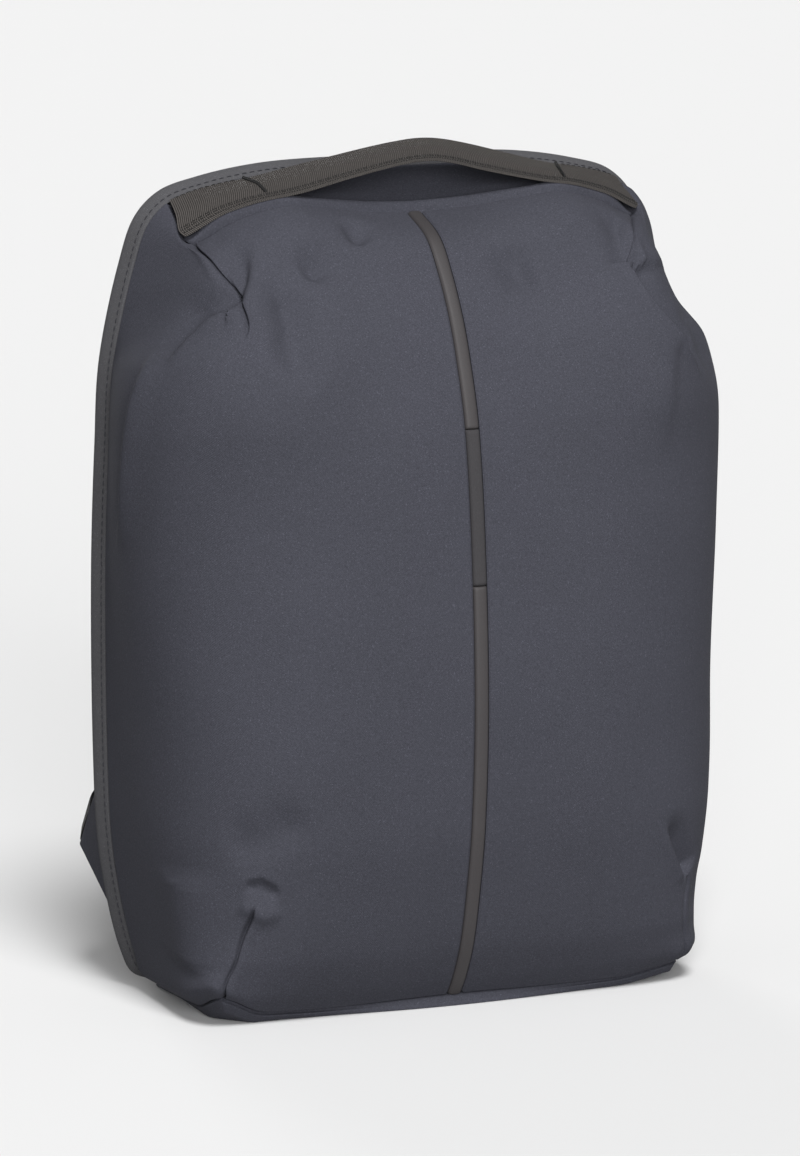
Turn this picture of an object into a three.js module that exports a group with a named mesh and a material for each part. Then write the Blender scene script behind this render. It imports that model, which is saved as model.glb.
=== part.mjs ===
// A soft laptop backpack that stands on its base: a front shell in two halves with a reflective
// strip down the middle, four corner darts, a sagging top panel under an arched webbing handle,
// a band that covers the zip round a padded back panel, and two padded shoulder straps.
// Millimetres, +Z up, the wearer's back towards +Y. The origin lies on the floor, in the middle
// of the base across X, and halfway between the shell's fullest point and the back face along Y.

import * as THREE from "three";

// Body

const BODY_HEIGHT = 440; // floor to the top of the band
const BODY_WIDTH = 333; // across the band at its fullest
const SHELL_DEPTH = 125; // the shell's fullest point to the band seam
const BAND_WIDTH = 12; // the band, along the depth
const BAND_FLARE = 4; // the band's rear edge lies this far outside its seam
const BACK_THICKNESS = 12; // the padded back panel
const BACK_INSET = 9; // the back panel's edge, inside the band's rear edge
const BACK_ROUND = 4; // the rounding of the back panel's edge
const CLOTH = 2; // fabric with its foam
const BAND_CLOTH = 2.5; // the band is doubled over the zip
const SEAM_GAP = 0.4; // between two pieces that are sewn together
const TOP_CLEAR = 0.8; // the same at the top panel, whose seams are slanted
const SEAM_LIP = 1; // the same under the shell's bottom edge
const BAND_SWELL = 0.35; // the band's middle line lies this share of the flare inside its rear edge
const BASE_CORNER = 0.815; // the base's half width, a share of the body's
const BASE_LIP = 7; // the bottom panel's front edge stands this far in front of its seam
const CORNER_LIFT = [0.5, 0.2]; // its outer two rings of points rise with the corners' seam
const TOP_CORNER = 0.968; // the share of the height at which the top panel's corner meets the band
const DART_DEPTH = 3; // the groove of a corner dart at the seam

// Centre strip and label

const STRIP_WIDTH = 7.4;
const LABEL_BOTTOM = 231; // height of the label's lower end
const LABEL_TOP = 311; // height of its upper end

// Handle

const WEBBING_WIDTH = 30;
const WEBBING_THICKNESS = 2.4;
const HANDLE_RISE = 19; // the free arch, above its two sewn ends
const HANDLE_SEWN_FROM = 80; // half distance between the two rows of stitches
const HANDLE_END_GAP = 6; // from the webbing's end to the top panel's corner
const SEWN_GAP = 0.8; // under webbing that is sewn flat
const HANDLE_PEAK = 2.1; // how pointed the free arch is: 2 for a plain wave, more for a narrow top
const HANDLE_LEAN = { front: 1.07, back: 1.17 }; // how far each edge's peak lies to the right

// Shoulder straps

const STRAP_WIDTH = 62;
const STRAP_THICKNESS = 11;
const STRAP_BOW = 42; // the strap's inner face leaves the back by this much at its fullest
const STRAP_TOP_HEIGHT = 404; // where the strap is sewn to the back
const STRAP_TOP_SPREAD = 46; // half distance between the two straps at the top
const STRAP_LOW_HEIGHT = 172; // the padded strap's lower end
const STRAP_LOW_SPREAD = 88; // half distance between the straps at their lower ends
const TAPE_WIDTH = 25; // the narrow webbing below the strap
const TAPE_THICKNESS = 1.6;
const TAPE_PLAY = 1.5; // between the webbing's edge and the end of a buckle's slot
const BUCKLE_FRAME = 4; // the ladder buckle's bars
const BUCKLE_WINDOW = 7; // each of its two slots
const BUCKLE_THICKNESS = 5;
const WING_LOW = 45; // the fabric tab is sewn into the side from this height
const WING_HIGH = 109; // up to this height
const WING_REACH = 23; // and reaches this far behind the band
const WING_TIP_HEIGHT = 84;
const WING_TIP_INSET = 3; // the tip lies this far inside the band's full width
const WING_SLANT = 51; // the tip's edge falls to the rear by this many degrees
const WING_GAP = 0.8; // between the tab and what it is sewn to

// Mesh fineness

const FRONT_COLUMNS = 10; // from the strip to the corner dart
const SIDE_COLUMNS = 7; // from the corner dart to the band
const SHELL_ROWS = 34; // from the base to the top
const DART_HALF_WIDTH = 5; // the groove along a dart, to each side
const BASE_STEPS = 5; // across the depth of the base, behind its lip
const BAND_STEPS = 38; // from a lower corner to the middle of the top
const BACK_STEPS = 30; // half way round the back panel
const HANDLE_SEWN_STEPS = 6;
const HANDLE_ARCH_STEPS = 20;
const HANDLE_COLUMNS = 4;
const STRAP_STEPS = 22;
const TAPE_STEPS = 24;
const WING_ROWS = 6;
const WING_COLUMNS = 4;

const HALF_WIDTH = BODY_WIDTH / 2;
const BODY_DEPTH = SHELL_DEPTH + BAND_WIDTH + BACK_THICKNESS;
const BACK_Y = BODY_DEPTH / 2;
const BAND_REAR_Y = BACK_Y - BACK_THICKNESS;
const SEAM_Y = BAND_REAR_Y - BAND_WIDTH;
const STRIP_EDGE = STRIP_WIDTH / 2 + SEAM_GAP;

// Half of the band's outline seen from behind, from the middle of the base round the side to the
// middle of the top. Shares of the half width and of the height.
const OUTLINE = [
  { across: 0, up: 0 },
  { across: 0.45, up: 0 },
  { across: 0.815, up: 0.002 },
  { across: 0.885, up: 0.016 },
  { across: 0.918, up: 0.05 },
  { across: 0.956, up: 0.11 },
  { across: 0.988, up: 0.19 },
  { across: 1, up: 0.3 },
  { across: 1, up: 0.52 },
  { across: 0.985, up: 0.67 },
  { across: 0.968, up: 0.77 },
  { across: 0.9, up: 0.885 },
  { across: 0.846, up: 0.94 },
  { across: 0.766, up: 0.969 },
  { across: 0.64, up: 0.984 },
  { across: 0.42, up: 0.997 },
  { across: 0, up: 1 },
];

// The shell's sections, from the bottom seam to the top seam along the middle of the front.
// along: share of the way up. front: how far the middle stands in front of the band seam, a share
// of the shell depth. up: its height, a share of the height. square: how boxy the section is in
// plan, 2 for an ellipse and more for a squarer corner. bulge: how far the side swells past the
// band seam. pinch: how far the front corner is drawn in. Both are shares of the half width.
const SECTIONS = [
  { along: 0, front: 0.69, up: 0.011, square: 20, bulge: 0, pinch: 0 },
  { along: 0.036, front: 0.765, up: 0.041, square: 9, bulge: 0, pinch: -0.01 },
  { along: 0.085, front: 0.845, up: 0.086, square: 6, bulge: 0, pinch: 0.04 },
  { along: 0.156, front: 0.915, up: 0.157, square: 4.6, bulge: 0, pinch: 0.055 },
  { along: 0.237, front: 0.97, up: 0.239, square: 3.8, bulge: 0, pinch: 0.03 },
  { along: 0.377, front: 1, up: 0.382, square: 3.2, bulge: 0.004, pinch: 0.015 },
  { along: 0.551, front: 0.965, up: 0.562, square: 3.1, bulge: 0.03, pinch: 0 },
  { along: 0.693, front: 0.89, up: 0.708, square: 3.4, bulge: 0.055, pinch: 0 },
  { along: 0.781, front: 0.785, up: 0.792, square: 4.6, bulge: 0.045, pinch: 0.05 },
  { along: 0.831, front: 0.7, up: 0.839, square: 8, bulge: 0.01, pinch: 0.15 },
  { along: 0.886, front: 0.585, up: 0.884, square: 12, bulge: 0, pinch: 0.16 },
  { along: 0.936, front: 0.455, up: 0.92, square: 14, bulge: 0, pinch: 0.14 },
  { along: 1, front: 0.24, up: 0.9425, square: 18, bulge: 0, pinch: 0.01 },
];

// The corner dart's line round the girth, as an angle share: 0.5 is the section's corner.
const DART_LINE = [
  { along: 0, turn: 0.5 },
  { along: 0.155, turn: 0.44 },
  { along: 0.45, turn: 0.44 },
  { along: 0.82, turn: 0.43 },
  { along: 1, turn: 0.5 },
];

// How the shell's top and bottom edges leave the plain section. turn: angle share round the
// girth. lift: upwards, a share of the height. push: outwards to the front, a share of the depth.
const TOP_EDGE = [
  { turn: 0, lift: 0, push: 0 },
  { turn: 0.12, lift: 0.004, push: 0.02 },
  { turn: 0.26, lift: 0.014, push: 0.07 },
  { turn: 0.35, lift: 0.019, push: 0.095 },
  { turn: 0.43, lift: 0.004, push: 0.06 },
  { turn: 0.5, lift: -0.021, push: 0.02 },
  { turn: 0.68, lift: -0.011, push: 0 },
  { turn: 1, lift: 0, push: 0 },
];
const BOTTOM_EDGE = [
  { turn: 0, lift: 0, push: 0 },
  { turn: 0.42, lift: 0.0, push: 0 },
  { turn: 0.5, lift: 0.026, push: 0.045 },
  { turn: 0.6, lift: 0.004, push: 0.01 },
  { turn: 1, lift: 0, push: 0 },
];
const EDGE_FADE = 0.13; // the share of the way up over which an edge's own form fades out

// Folds and dents. Each runs between two places on the shell and fades out round its line. A place
// is an angle share round the girth and a share of the way up. width and depth are shares of the
// shell depth, and a positive depth is a ridge.
const LEFT_FOLDS = [
  // fullness beside the upper dart
  { from: [0.36, 0.8], to: [0.42, 0.76], width: 0.3, depth: 0.06 },
  // crease from that dart down the side
  { from: [0.44, 0.8], to: [0.74, 0.72], width: 0.09, depth: -0.035 },
  // fold inside the dart
  { from: [0.3, 0.9], to: [0.33, 0.79], width: 0.08, depth: -0.022 },
  // long and short fold below the handle
  { from: [0.24, 0.87], to: [0.26, 0.7], width: 0.1, depth: -0.018 },
  { from: [0.13, 0.95], to: [0.17, 0.86], width: 0.08, depth: -0.014 },
  // dent above the lower dart, and the ridge under it
  { from: [0.3, 0.215], to: [0.42, 0.195], width: 0.09, depth: -0.04 },
  { from: [0.33, 0.16], to: [0.38, 0.15], width: 0.1, depth: 0.03 },
];
const RIGHT_FOLDS = [
  // fullness beside the upper dart
  { from: [0.36, 0.8], to: [0.42, 0.76], width: 0.3, depth: 0.06 },
  // crease from that dart down the side
  { from: [0.46, 0.82], to: [0.7, 0.74], width: 0.09, depth: -0.03 },
  // fullness behind the upper dart, and a fold in the side below it
  { from: [0.74, 0.98], to: [0.8, 0.94], width: 0.13, depth: 0.045 },
  // fold below the handle
  { from: [0.2, 0.9], to: [0.24, 0.8], width: 0.1, depth: -0.018 },
  // dent above the lower dart
  { from: [0.4, 0.21], to: [0.5, 0.25], width: 0.1, depth: -0.03 },
];

// A shoulder strap's route. down: share of the way from its top to its lower end. bow: how far it
// leaves the back, a share of the full bow. spread: share of the way out to its lower place.
const STRAP_ROUTE = [
  { down: 0, bow: 0, spread: 0 },
  { down: 0.1, bow: 0.06, spread: 0.03 },
  { down: 0.3, bow: 0.55, spread: 0.25 },
  { down: 0.52, bow: 0.95, spread: 0.6 },
  { down: 0.76, bow: 1, spread: 0.88 },
  { down: 1, bow: 0.8, spread: 1 },
];
const STRAP_NARROWS = { from: 0.72, by: 0.36 }; // towards the buckle, from this share of its length

// The shell is drawn in towards this inner box, so every wall has its thickness on the inside.
// Shares of the half width, of the height, and of the shell depth in front of the seam.
const CORE = { across: 0.6, low: 0.14, high: 0.86, front: 0.6 };

// Reads column by name from a table at x, smoothly through the rows.
function tableValue(rows, key, x, column) {
  const last = rows.length - 1;
  let i = 0;
  while (i < last - 1 && x > rows[i + 1][key]) i += 1;
  const span = rows[i + 1][key] - rows[i][key];
  const f = (x - rows[i][key]) / span;
  const slope = (k) => {
    const a = Math.max(k - 1, 0);
    const b = Math.min(k + 1, last);
    return (rows[b][column] - rows[a][column]) / (rows[b][key] - rows[a][key]);
  };
  const rise = 3 * f * f - 2 * f * f * f;
  const bendIn = f * f * f - 2 * f * f + f;
  const bendOut = f * f * f - f * f;
  const level = rows[i][column] * (1 - rise) + rows[i + 1][column] * rise;
  return level + span * (slope(i) * bendIn + slope(i + 1) * bendOut);
}

// The band's outline as a curve, x across and y up, with equal steps along its length.
const outlineCurve = new THREE.CatmullRomCurve3(
  OUTLINE.map((row) => new THREE.Vector3(row.across * HALF_WIDTH, row.up * BODY_HEIGHT, 0)),
  false,
  "centripetal",
);

// A point of the half outline at share q of its length, moved inwards by inset.
function outlinePoint(q, inset) {
  const at = outlineCurve.getPointAt(q);
  const along = outlineCurve.getTangentAt(q);
  return new THREE.Vector2(at.x - along.y * inset, at.y + along.x * inset);
}

// The share between two others at which a test starts to hold.
function shareWhere(passed, from = 0, to = 1) {
  let [low, high] = [from, to];
  for (let step = 0; step < 40; step += 1) {
    const middle = (low + high) / 2;
    if (passed(middle)) high = middle;
    else low = middle;
  }
  return (low + high) / 2;
}

const CORNER_LOW = shareWhere((q) => outlineCurve.getPointAt(q).x > BASE_CORNER * HALF_WIDTH);
const CORNER_HIGH = shareWhere((q) => outlineCurve.getPointAt(q).y > TOP_CORNER * BODY_HEIGHT);

// The direction from a point of the outside towards the inner box, one unit long.
function inward(p) {
  const side = CORE.across * HALF_WIDTH;
  const core = new THREE.Vector3(
    THREE.MathUtils.clamp(p.x, -side, side),
    Math.max(p.y, SEAM_Y - CORE.front * SHELL_DEPTH),
    THREE.MathUtils.clamp(p.z, CORE.low * BODY_HEIGHT, CORE.high * BODY_HEIGHT),
  );
  return core.sub(p).normalize();
}

// How strongly a fold acts at a place, from 0 to 1, fading out smoothly round its line.
function foldWeight(fold, turn, along) {
  const girth = (HALF_WIDTH + SHELL_DEPTH) / SHELL_DEPTH;
  const rise = BODY_HEIGHT / SHELL_DEPTH;
  const place = (t, a) => new THREE.Vector2(t * girth, a * rise);
  const start = place(...fold.from);
  const line = place(...fold.to).sub(start);
  const here = place(turn, along).sub(start);
  const share = THREE.MathUtils.clamp(here.dot(line) / line.lengthSq(), 0, 1);
  const away = here.addScaledVector(line, -share).length() / fold.width;
  return Math.exp(-away * away);
}

// The groove of the corner darts: deepest near the seam and gone where the dart ends.
const DARTS = [
  { from: 0, to: 0.155 },
  { from: 1, to: 0.815 },
];
const DART_FADE = 0.06; // next to the seam itself the groove closes over this share
function dartDepth(along) {
  const reach = DARTS.map((d) => 1 - (along - d.from) / (d.to - d.from));
  const seamFade = THREE.MathUtils.smoothstep(Math.min(along, 1 - along), 0, DART_FADE);
  return seamFade * DART_DEPTH * Math.sqrt(Math.max(0, ...reach));
}

// The angle share of a column: the strip is at 0, the dart at 0.5 and the band at 1.
function turnOf(column, along) {
  const dart = tableValue(DART_LINE, "along", along, "turn");
  return column < 0.5 ? column * 2 * dart : dart + (column - 0.5) * 2 * (1 - dart);
}

// A point on the outside of the right half's plain form, before darts and folds.
function plainShell(turn, along) {
  const section = (column) => tableValue(SECTIONS, "along", along, column);
  const angle = (turn * Math.PI) / 2;
  const square = section("square");
  const reach = (Math.sin(angle) ** square + Math.cos(angle) ** square) ** (-1 / square);
  const sideways = Math.sin(angle) * reach;
  const forwards = Math.cos(angle) * reach;
  const back = outlinePoint(CORNER_LOW + (CORNER_HIGH - CORNER_LOW) * along, BAND_FLARE);
  const swell = 1 + section("bulge") * 4 * forwards * (1 - forwards) - section("pinch") * forwards;
  const topFade = THREE.MathUtils.smoothstep(along, 1 - EDGE_FADE, 1);
  const bottomFade = 1 - THREE.MathUtils.smoothstep(along, 0, EDGE_FADE);
  const edge = (column) =>
    topFade * tableValue(TOP_EDGE, "turn", turn, column) +
    bottomFade * tableValue(BOTTOM_EDGE, "turn", turn, column);
  const front = section("front") * forwards + edge("push");
  return new THREE.Vector3(
    STRIP_EDGE + (back.x * swell - STRIP_EDGE) * sideways,
    SEAM_Y - SHELL_DEPTH * front,
    back.y + (section("up") * BODY_HEIGHT - back.y) * forwards + BODY_HEIGHT * edge("lift"),
  );
}

const FOLD_FADE = 0.06; // folds die out over this share of the way in from a seam

// A point on the outside of one half of the shell. side is -1 for the left half, 1 for the right.
function shellPoint(side, column, along, groove = 0) {
  const turn = turnOf(column, along);
  const p = plainShell(turn, along);
  const folds = side < 0 ? LEFT_FOLDS : RIGHT_FOLDS;
  const edgeFade = THREE.MathUtils.smoothstep(Math.min(turn, 1 - turn), 0, FOLD_FADE);
  const seamFade = THREE.MathUtils.smoothstep(Math.min(along, 1 - along), 0, FOLD_FADE);
  const height = folds.reduce((sum, f) => sum + f.depth * foldWeight(f, turn, along), 0);
  const out = height * SHELL_DEPTH * edgeFade * seamFade - groove * dartDepth(along);
  p.addScaledVector(inward(p), -out);
  p.x *= side;
  return p;
}

// Shares from 0 to 1 in even steps.
function evenShares(steps) {
  return Array.from({ length: steps + 1 }, (_, i) => i / steps);
}

// The columns of a half: even steps, with three close together at the dart.
function shellColumns() {
  const columns = [];
  const near = DART_HALF_WIDTH / (HALF_WIDTH + SHELL_DEPTH);
  for (let i = 0; i < FRONT_COLUMNS; i += 1) columns.push((i / FRONT_COLUMNS) * (0.5 - near));
  columns.push(0.5 - near, 0.5, 0.5 + near);
  for (let i = 1; i <= SIDE_COLUMNS; i += 1) {
    columns.push(0.5 + near + (i / SIDE_COLUMNS) * (0.5 - near));
  }
  return columns;
}
const COLUMNS = shellColumns();
const DART_COLUMN = FRONT_COLUMNS + 1;

// The rows of the shell, closer together where it bends over at the top and the bottom.
const ROW_CROWDING = 0.055;
function shellRows() {
  return evenShares(SHELL_ROWS).map((f) => f - ROW_CROWDING * Math.sin(2 * Math.PI * f));
}

// A closed solid from two grids of points with the same size, an outer and an inner one.
function solidFromGrids(outer, inner) {
  const rows = outer.length;
  const columns = outer[0].length;
  const points = [...outer.flat(), ...inner.flat()];
  const half = rows * columns;
  const faces = [];
  const quad = (a, b, c, d) => faces.push(a, b, c, a, c, d);
  for (let i = 0; i + 1 < rows; i += 1) {
    for (let j = 0; j + 1 < columns; j += 1) {
      const a = i * columns + j;
      const b = a + columns;
      quad(a, a + 1, b + 1, b);
      quad(half + a, half + b, half + b + 1, half + a + 1);
    }
  }
  const rim = [];
  for (let j = 0; j < columns; j += 1) rim.push(j);
  for (let i = 1; i < rows; i += 1) rim.push(i * columns + columns - 1);
  for (let j = columns - 2; j >= 0; j -= 1) rim.push((rows - 1) * columns + j);
  for (let i = rows - 2; i > 0; i -= 1) rim.push(i * columns);
  rim.forEach((a, k) => {
    const b = rim[(k + 1) % rim.length];
    quad(b, a, half + a, half + b);
  });
  return outwards(points, faces);
}

// A geometry whose faces look outwards, whichever way round they were listed.
function outwards(points, faces) {
  let volume = 0;
  for (let i = 0; i < faces.length; i += 3) {
    const [a, b, c] = [points[faces[i]], points[faces[i + 1]], points[faces[i + 2]]];
    volume += a.dot(new THREE.Vector3().crossVectors(b, c));
  }
  const turned = [...faces];
  if (volume < 0) turned.reverse();
  const geometry = new THREE.BufferGeometry().setFromPoints(points);
  geometry.setIndex(turned);
  geometry.computeVertexNormals();
  return geometry;
}

// A sheet of cloth: its outside is the grid, its inside lies one wall inside the plain grid.
function clothSheet(outer, thickness, plain = outer) {
  const inner = plain.map((row) =>
    row.map((p) => p.clone().addScaledVector(inward(p), thickness)),
  );
  return solidFromGrids(outer, inner);
}

// A ribbon along a list of frames. Each frame has a middle point, a sideways and an upright
// direction. The section's corners are shares of the half width and of the half thickness.
const FLAT_SECTION = [
  [-1, -1],
  [0, -1],
  [1, -1],
  [1, 1],
  [0, 1],
  [-1, 1],
];
const PADDED_SECTION = [
  [-0.8, -0.75],
  [0, -1],
  [0.8, -0.75],
  [1, 0],
  [0.8, 0.75],
  [0, 1],
  [-0.8, 0.75],
  [-1, 0],
];
function ribbon(frames, width, thickness, section) {
  const sides = section.length;
  const points = frames.flatMap((f) =>
    section.map(([a, b]) =>
      f.middle
        .clone()
        .addScaledVector(f.sideways, (a * width * f.taper) / 2)
        .addScaledVector(f.upright, (b * thickness) / 2),
    ),
  );
  const faces = [];
  for (let i = 0; i + 1 < frames.length; i += 1) {
    for (let j = 0; j < sides; j += 1) {
      const a = i * sides + j;
      const b = i * sides + ((j + 1) % sides);
      faces.push(a, b, b + sides, a, b + sides, a + sides);
    }
  }
  const end = (frames.length - 1) * sides;
  for (let j = 1; j + 1 < sides; j += 1) {
    faces.push(0, j + 1, j);
    faces.push(end, end + j, end + j + 1);
  }
  return outwards(points, faces);
}

// Frames along a curve, whose sideways direction turns from one vector to another. taper gives
// the share of the full width at each share of the length.
function curveFrames(curve, steps, sidewaysFrom, sidewaysTo, taper = () => 1) {
  return evenShares(steps).map((f) => {
    const along = curve.getTangentAt(f);
    const sideways = sidewaysFrom.clone().lerp(sidewaysTo, THREE.MathUtils.smoothstep(f, 0, 1));
    sideways.addScaledVector(along, -sideways.dot(along)).normalize();
    const upright = new THREE.Vector3().crossVectors(along, sideways);
    return { middle: curve.getPointAt(f), sideways, upright, taper: taper(f) };
  });
}

// A patch between four edges, each a function of a share from 0 to 1.
function patch(front, back, left, right) {
  const corners = [front(0), front(1), back(0), back(1)];
  return (u, v) => {
    const p = new THREE.Vector3();
    p.addScaledVector(front(u), 1 - v).addScaledVector(back(u), v);
    p.addScaledVector(left(v), 1 - u).addScaledVector(right(v), u);
    p.addScaledVector(corners[0], -(1 - u) * (1 - v)).addScaledVector(corners[1], -u * (1 - v));
    p.addScaledVector(corners[2], -(1 - u) * v).addScaledVector(corners[3], -u * v);
    return p;
  };
}

// The shell's edge at the top or the bottom, right across the bag from the left dart to the right.
function frontSeam(along) {
  return (u) => {
    const side = u < 0.5 ? -1 : 1;
    const p = shellPoint(side, Math.abs(2 * u - 1) * 0.5, along);
    const middle = Math.abs(2 * u - 1) * 0.5 * FRONT_COLUMNS * 2;
    if (middle < 1) p.x *= middle;
    return p;
  };
}

function sideSeam(side, along) {
  return (v) => shellPoint(side, 0.5 + v / 2, along);
}

// The top panel: from the top seam back and up to the band.
const topBack = (u) => {
  const q = 1 - (1 - CORNER_HIGH) * Math.abs(2 * u - 1);
  const p = outlinePoint(q, BAND_FLARE);
  return new THREE.Vector3(p.x * Math.sign(u - 0.5), SEAM_Y, p.y);
};
const topSurface = patch(frontSeam(1), topBack, sideSeam(-1, 1), sideSeam(1, 1));
const ACROSS_SHARES = [-1, 1].flatMap((side) => {
  const shares = COLUMNS.slice(0, DART_COLUMN + 1).map((c) => 0.5 + side * c);
  return side < 0 ? shares.reverse() : shares.slice(1);
});
const SIDE_SHARES = COLUMNS.slice(DART_COLUMN).map((c) => (c - 0.5) * 2);

// Moves a share a little inside 0 to 1, so that a patch keeps clear of what it is sewn to.
function inside(share, margin) {
  return margin + share * (1 - 2 * margin);
}

// The top panel leaves out the columns and the row next to its corners, which would be slivers.
function makeTopPanel() {
  const across = ACROSS_SHARES.filter((_, j) => j !== 1 && j !== ACROSS_SHARES.length - 2);
  const deep = SIDE_SHARES.filter((_, i) => i !== 1);
  const outer = deep.map((v, i) =>
    across.map((u, j) => {
      const p = topSurface(u, v);
      if (i === 0) p.y += TOP_CLEAR;
      if (i === deep.length - 1) p.y -= TOP_CLEAR;
      if (j === 0) p.x += TOP_CLEAR;
      if (j === across.length - 1) p.x -= TOP_CLEAR;
      return p;
    }),
  );
  return clothSheet(outer, CLOTH);
}

// The bottom panel: flat on the floor, with an edge that turns up to the shell's bottom seam.
function makeBottomPanel() {
  const front = frontSeam(0);
  const rearHalf = BASE_CORNER * HALF_WIDTH - SEAM_GAP;
  const rear = (u) => new THREE.Vector3((2 * u - 1) * rearHalf, BAND_REAR_Y - SEAM_GAP, 0);
  const edge = (side) => (v) => {
    const seam = sideSeam(side, 0)(v);
    const settle = v * v * v;
    seam.y += BAND_WIDTH * settle;
    seam.z *= 1 - settle;
    return seam.lerp(rear(side < 0 ? 0 : 1), settle);
  };
  const surface = patch(front, rear, edge(-1), edge(1));
  const across = SEAM_GAP / (2 * HALF_WIDTH);
  const rim = across + CLOTH / (2 * HALF_WIDTH);
  const steps = [0, rim, ...ACROSS_SHARES.slice(2, -2), 1 - rim, 1];
  const deep = Array.from({ length: BASE_STEPS }, (_, i) => (i + 1) / BASE_STEPS);
  const middle = front(0.5).z;
  const rows = [0, (CLOTH + SEAM_GAP) / SHELL_DEPTH, ...deep];
  const plain = rows.map((v, i) =>
    steps.map((u, j) => {
      const ring = Math.min(i, j, steps.length - 1 - j);
      const p = surface(inside(u, across), THREE.MathUtils.lerp(across, 1, v));
      const lift = Math.max(p.z - middle, 0);
      return p.setZ(ring === 0 ? Math.max(p.z - SEAM_LIP, 0) : lift * CORNER_LIFT[ring - 1] || 0);
    }),
  );
  const outer = plain.map((row, i) =>
    row.map((p, j) => {
      const middleness = 1 - (2 * steps[j] - 1) ** 2;
      return i === 1 ? p.clone().setY(p.y - BASE_LIP * middleness ** 2) : p;
    }),
  );
  return clothSheet(outer, CLOTH, plain);
}

function makeShell(side) {
  const outer = shellRows().map((along) =>
    COLUMNS.map((column, j) => shellPoint(side, column, along, j === DART_COLUMN ? 1 : 0)),
  );
  return clothSheet(outer, CLOTH);
}

// The share of the way up at which the middle of the front reaches a height.
function alongAtHeight(height) {
  return shareWhere((along) => tableValue(SECTIONS, "along", along, "up") * BODY_HEIGHT > height);
}

// A stretch of the centre strip between two shares of the way up.
function makeStrip(from, to, steps) {
  const outer = evenShares(steps).map((f) => {
    const p = plainShell(0, THREE.MathUtils.lerp(from, to, f));
    return [-1, 0, 1].map((side) => new THREE.Vector3((side * STRIP_WIDTH) / 2, p.y, p.z));
  });
  return clothSheet(outer, CLOTH);
}

// The band over the zip, from one lower corner over the top to the other. Behind, it turns in to
// a flange that the back panel is sewn to.
function makeBand() {
  const start = CORNER_LOW + (2 * SEAM_GAP) / outlineCurve.getLength();
  const shares = evenShares(BAND_STEPS).map((f) => start + (1 - start) * f);
  const line = (y, inset) => {
    const right = shares.map((q) => {
      const p = outlinePoint(q, inset);
      return new THREE.Vector3(p.x, y, p.y);
    });
    const left = right.slice(0, -1).map((p) => new THREE.Vector3(-p.x, p.y, p.z));
    return [...left, ...right.reverse()];
  };
  const front = SEAM_Y + SEAM_GAP;
  const rear = BAND_REAR_Y;
  const middle = (front + rear) / 2;
  const swell = BAND_FLARE * BAND_SWELL;
  const flange = BACK_INSET + BACK_ROUND + BAND_CLOTH;
  const outer = [
    line(front, BAND_FLARE),
    line(middle, swell),
    line(rear, 0),
    line(rear, flange),
  ];
  const inner = [
    line(front, BAND_FLARE + BAND_CLOTH),
    line(middle, swell + BAND_CLOTH),
    line(rear - BAND_CLOTH, BAND_CLOTH),
    line(rear - BAND_CLOTH, flange),
  ];
  return solidFromGrids(outer, inner);
}

// The back panel: a padded board with a rounded edge and a flat face on the wearer's side.
function makeBackPanel() {
  const inset = BACK_INSET + BACK_ROUND;
  const right = evenShares(BACK_STEPS).map((q) => outlinePoint(q, inset));
  const left = right.slice(1, -1).map((p) => new THREE.Vector2(-p.x, p.y));
  const shape = new THREE.Shape([...right, ...left.reverse()]);
  const geometry = new THREE.ExtrudeGeometry(shape, {
    depth: BACK_THICKNESS - SEAM_GAP - 2 * BACK_ROUND,
    bevelThickness: BACK_ROUND,
    bevelSize: BACK_ROUND,
    bevelSegments: 3,
    curveSegments: 1,
  });
  geometry.translate(0, 0, -(BACK_THICKNESS - SEAM_GAP - BACK_ROUND));
  geometry.rotateX(Math.PI / 2);
  geometry.translate(0, BAND_REAR_Y + SEAM_GAP, 0);
  return geometry;
}

// The share across the top panel at which its front edge reaches half distance x.
function topShareAt(x) {
  return shareWhere((u) => topSurface(u, 0).x > x, 0.5, 1);
}

// The handle: two ends sewn flat on the top panel and a free arch between them.
function makeHandle() {
  const tack = topShareAt(HANDLE_SEWN_FROM);
  const end = topShareAt(topSurface(1, 0).x - HANDLE_END_GAP);
  const sewnRow = (u) => {
    const depth = topSurface(u, 1).distanceTo(topSurface(u, 0));
    return evenShares(HANDLE_COLUMNS).map((k) => {
      const p = topSurface(u, (k * WEBBING_WIDTH) / depth);
      return p.addScaledVector(inward(p), -SEWN_GAP);
    });
  };
  const right = evenShares(HANDLE_SEWN_STEPS).map((f) => sewnRow(THREE.MathUtils.lerp(tack, end, f)));
  const left = right.map((row) => row.map((p) => p.clone().setX(-p.x))).reverse();
  const [from, to] = [left[HANDLE_SEWN_STEPS], right[0]];
  const arch = evenShares(HANDLE_ARCH_STEPS).slice(1, -1).map((f) => {
    return from.map((p, k) => {
      const lean = THREE.MathUtils.lerp(HANDLE_LEAN.front, HANDLE_LEAN.back, k / HANDLE_COLUMNS);
      const rise = HANDLE_RISE * Math.sin(Math.PI * f ** lean) ** HANDLE_PEAK;
      const q = p.clone().lerp(to[k], f);
      return q.setZ(q.z + rise);
    });
  });
  const under = [...left, ...arch, ...right];
  const above = under.map((row) =>
    row.map((p) => p.clone().addScaledVector(inward(p), -WEBBING_THICKNESS)),
  );
  return solidFromGrids(above, under);
}

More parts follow.
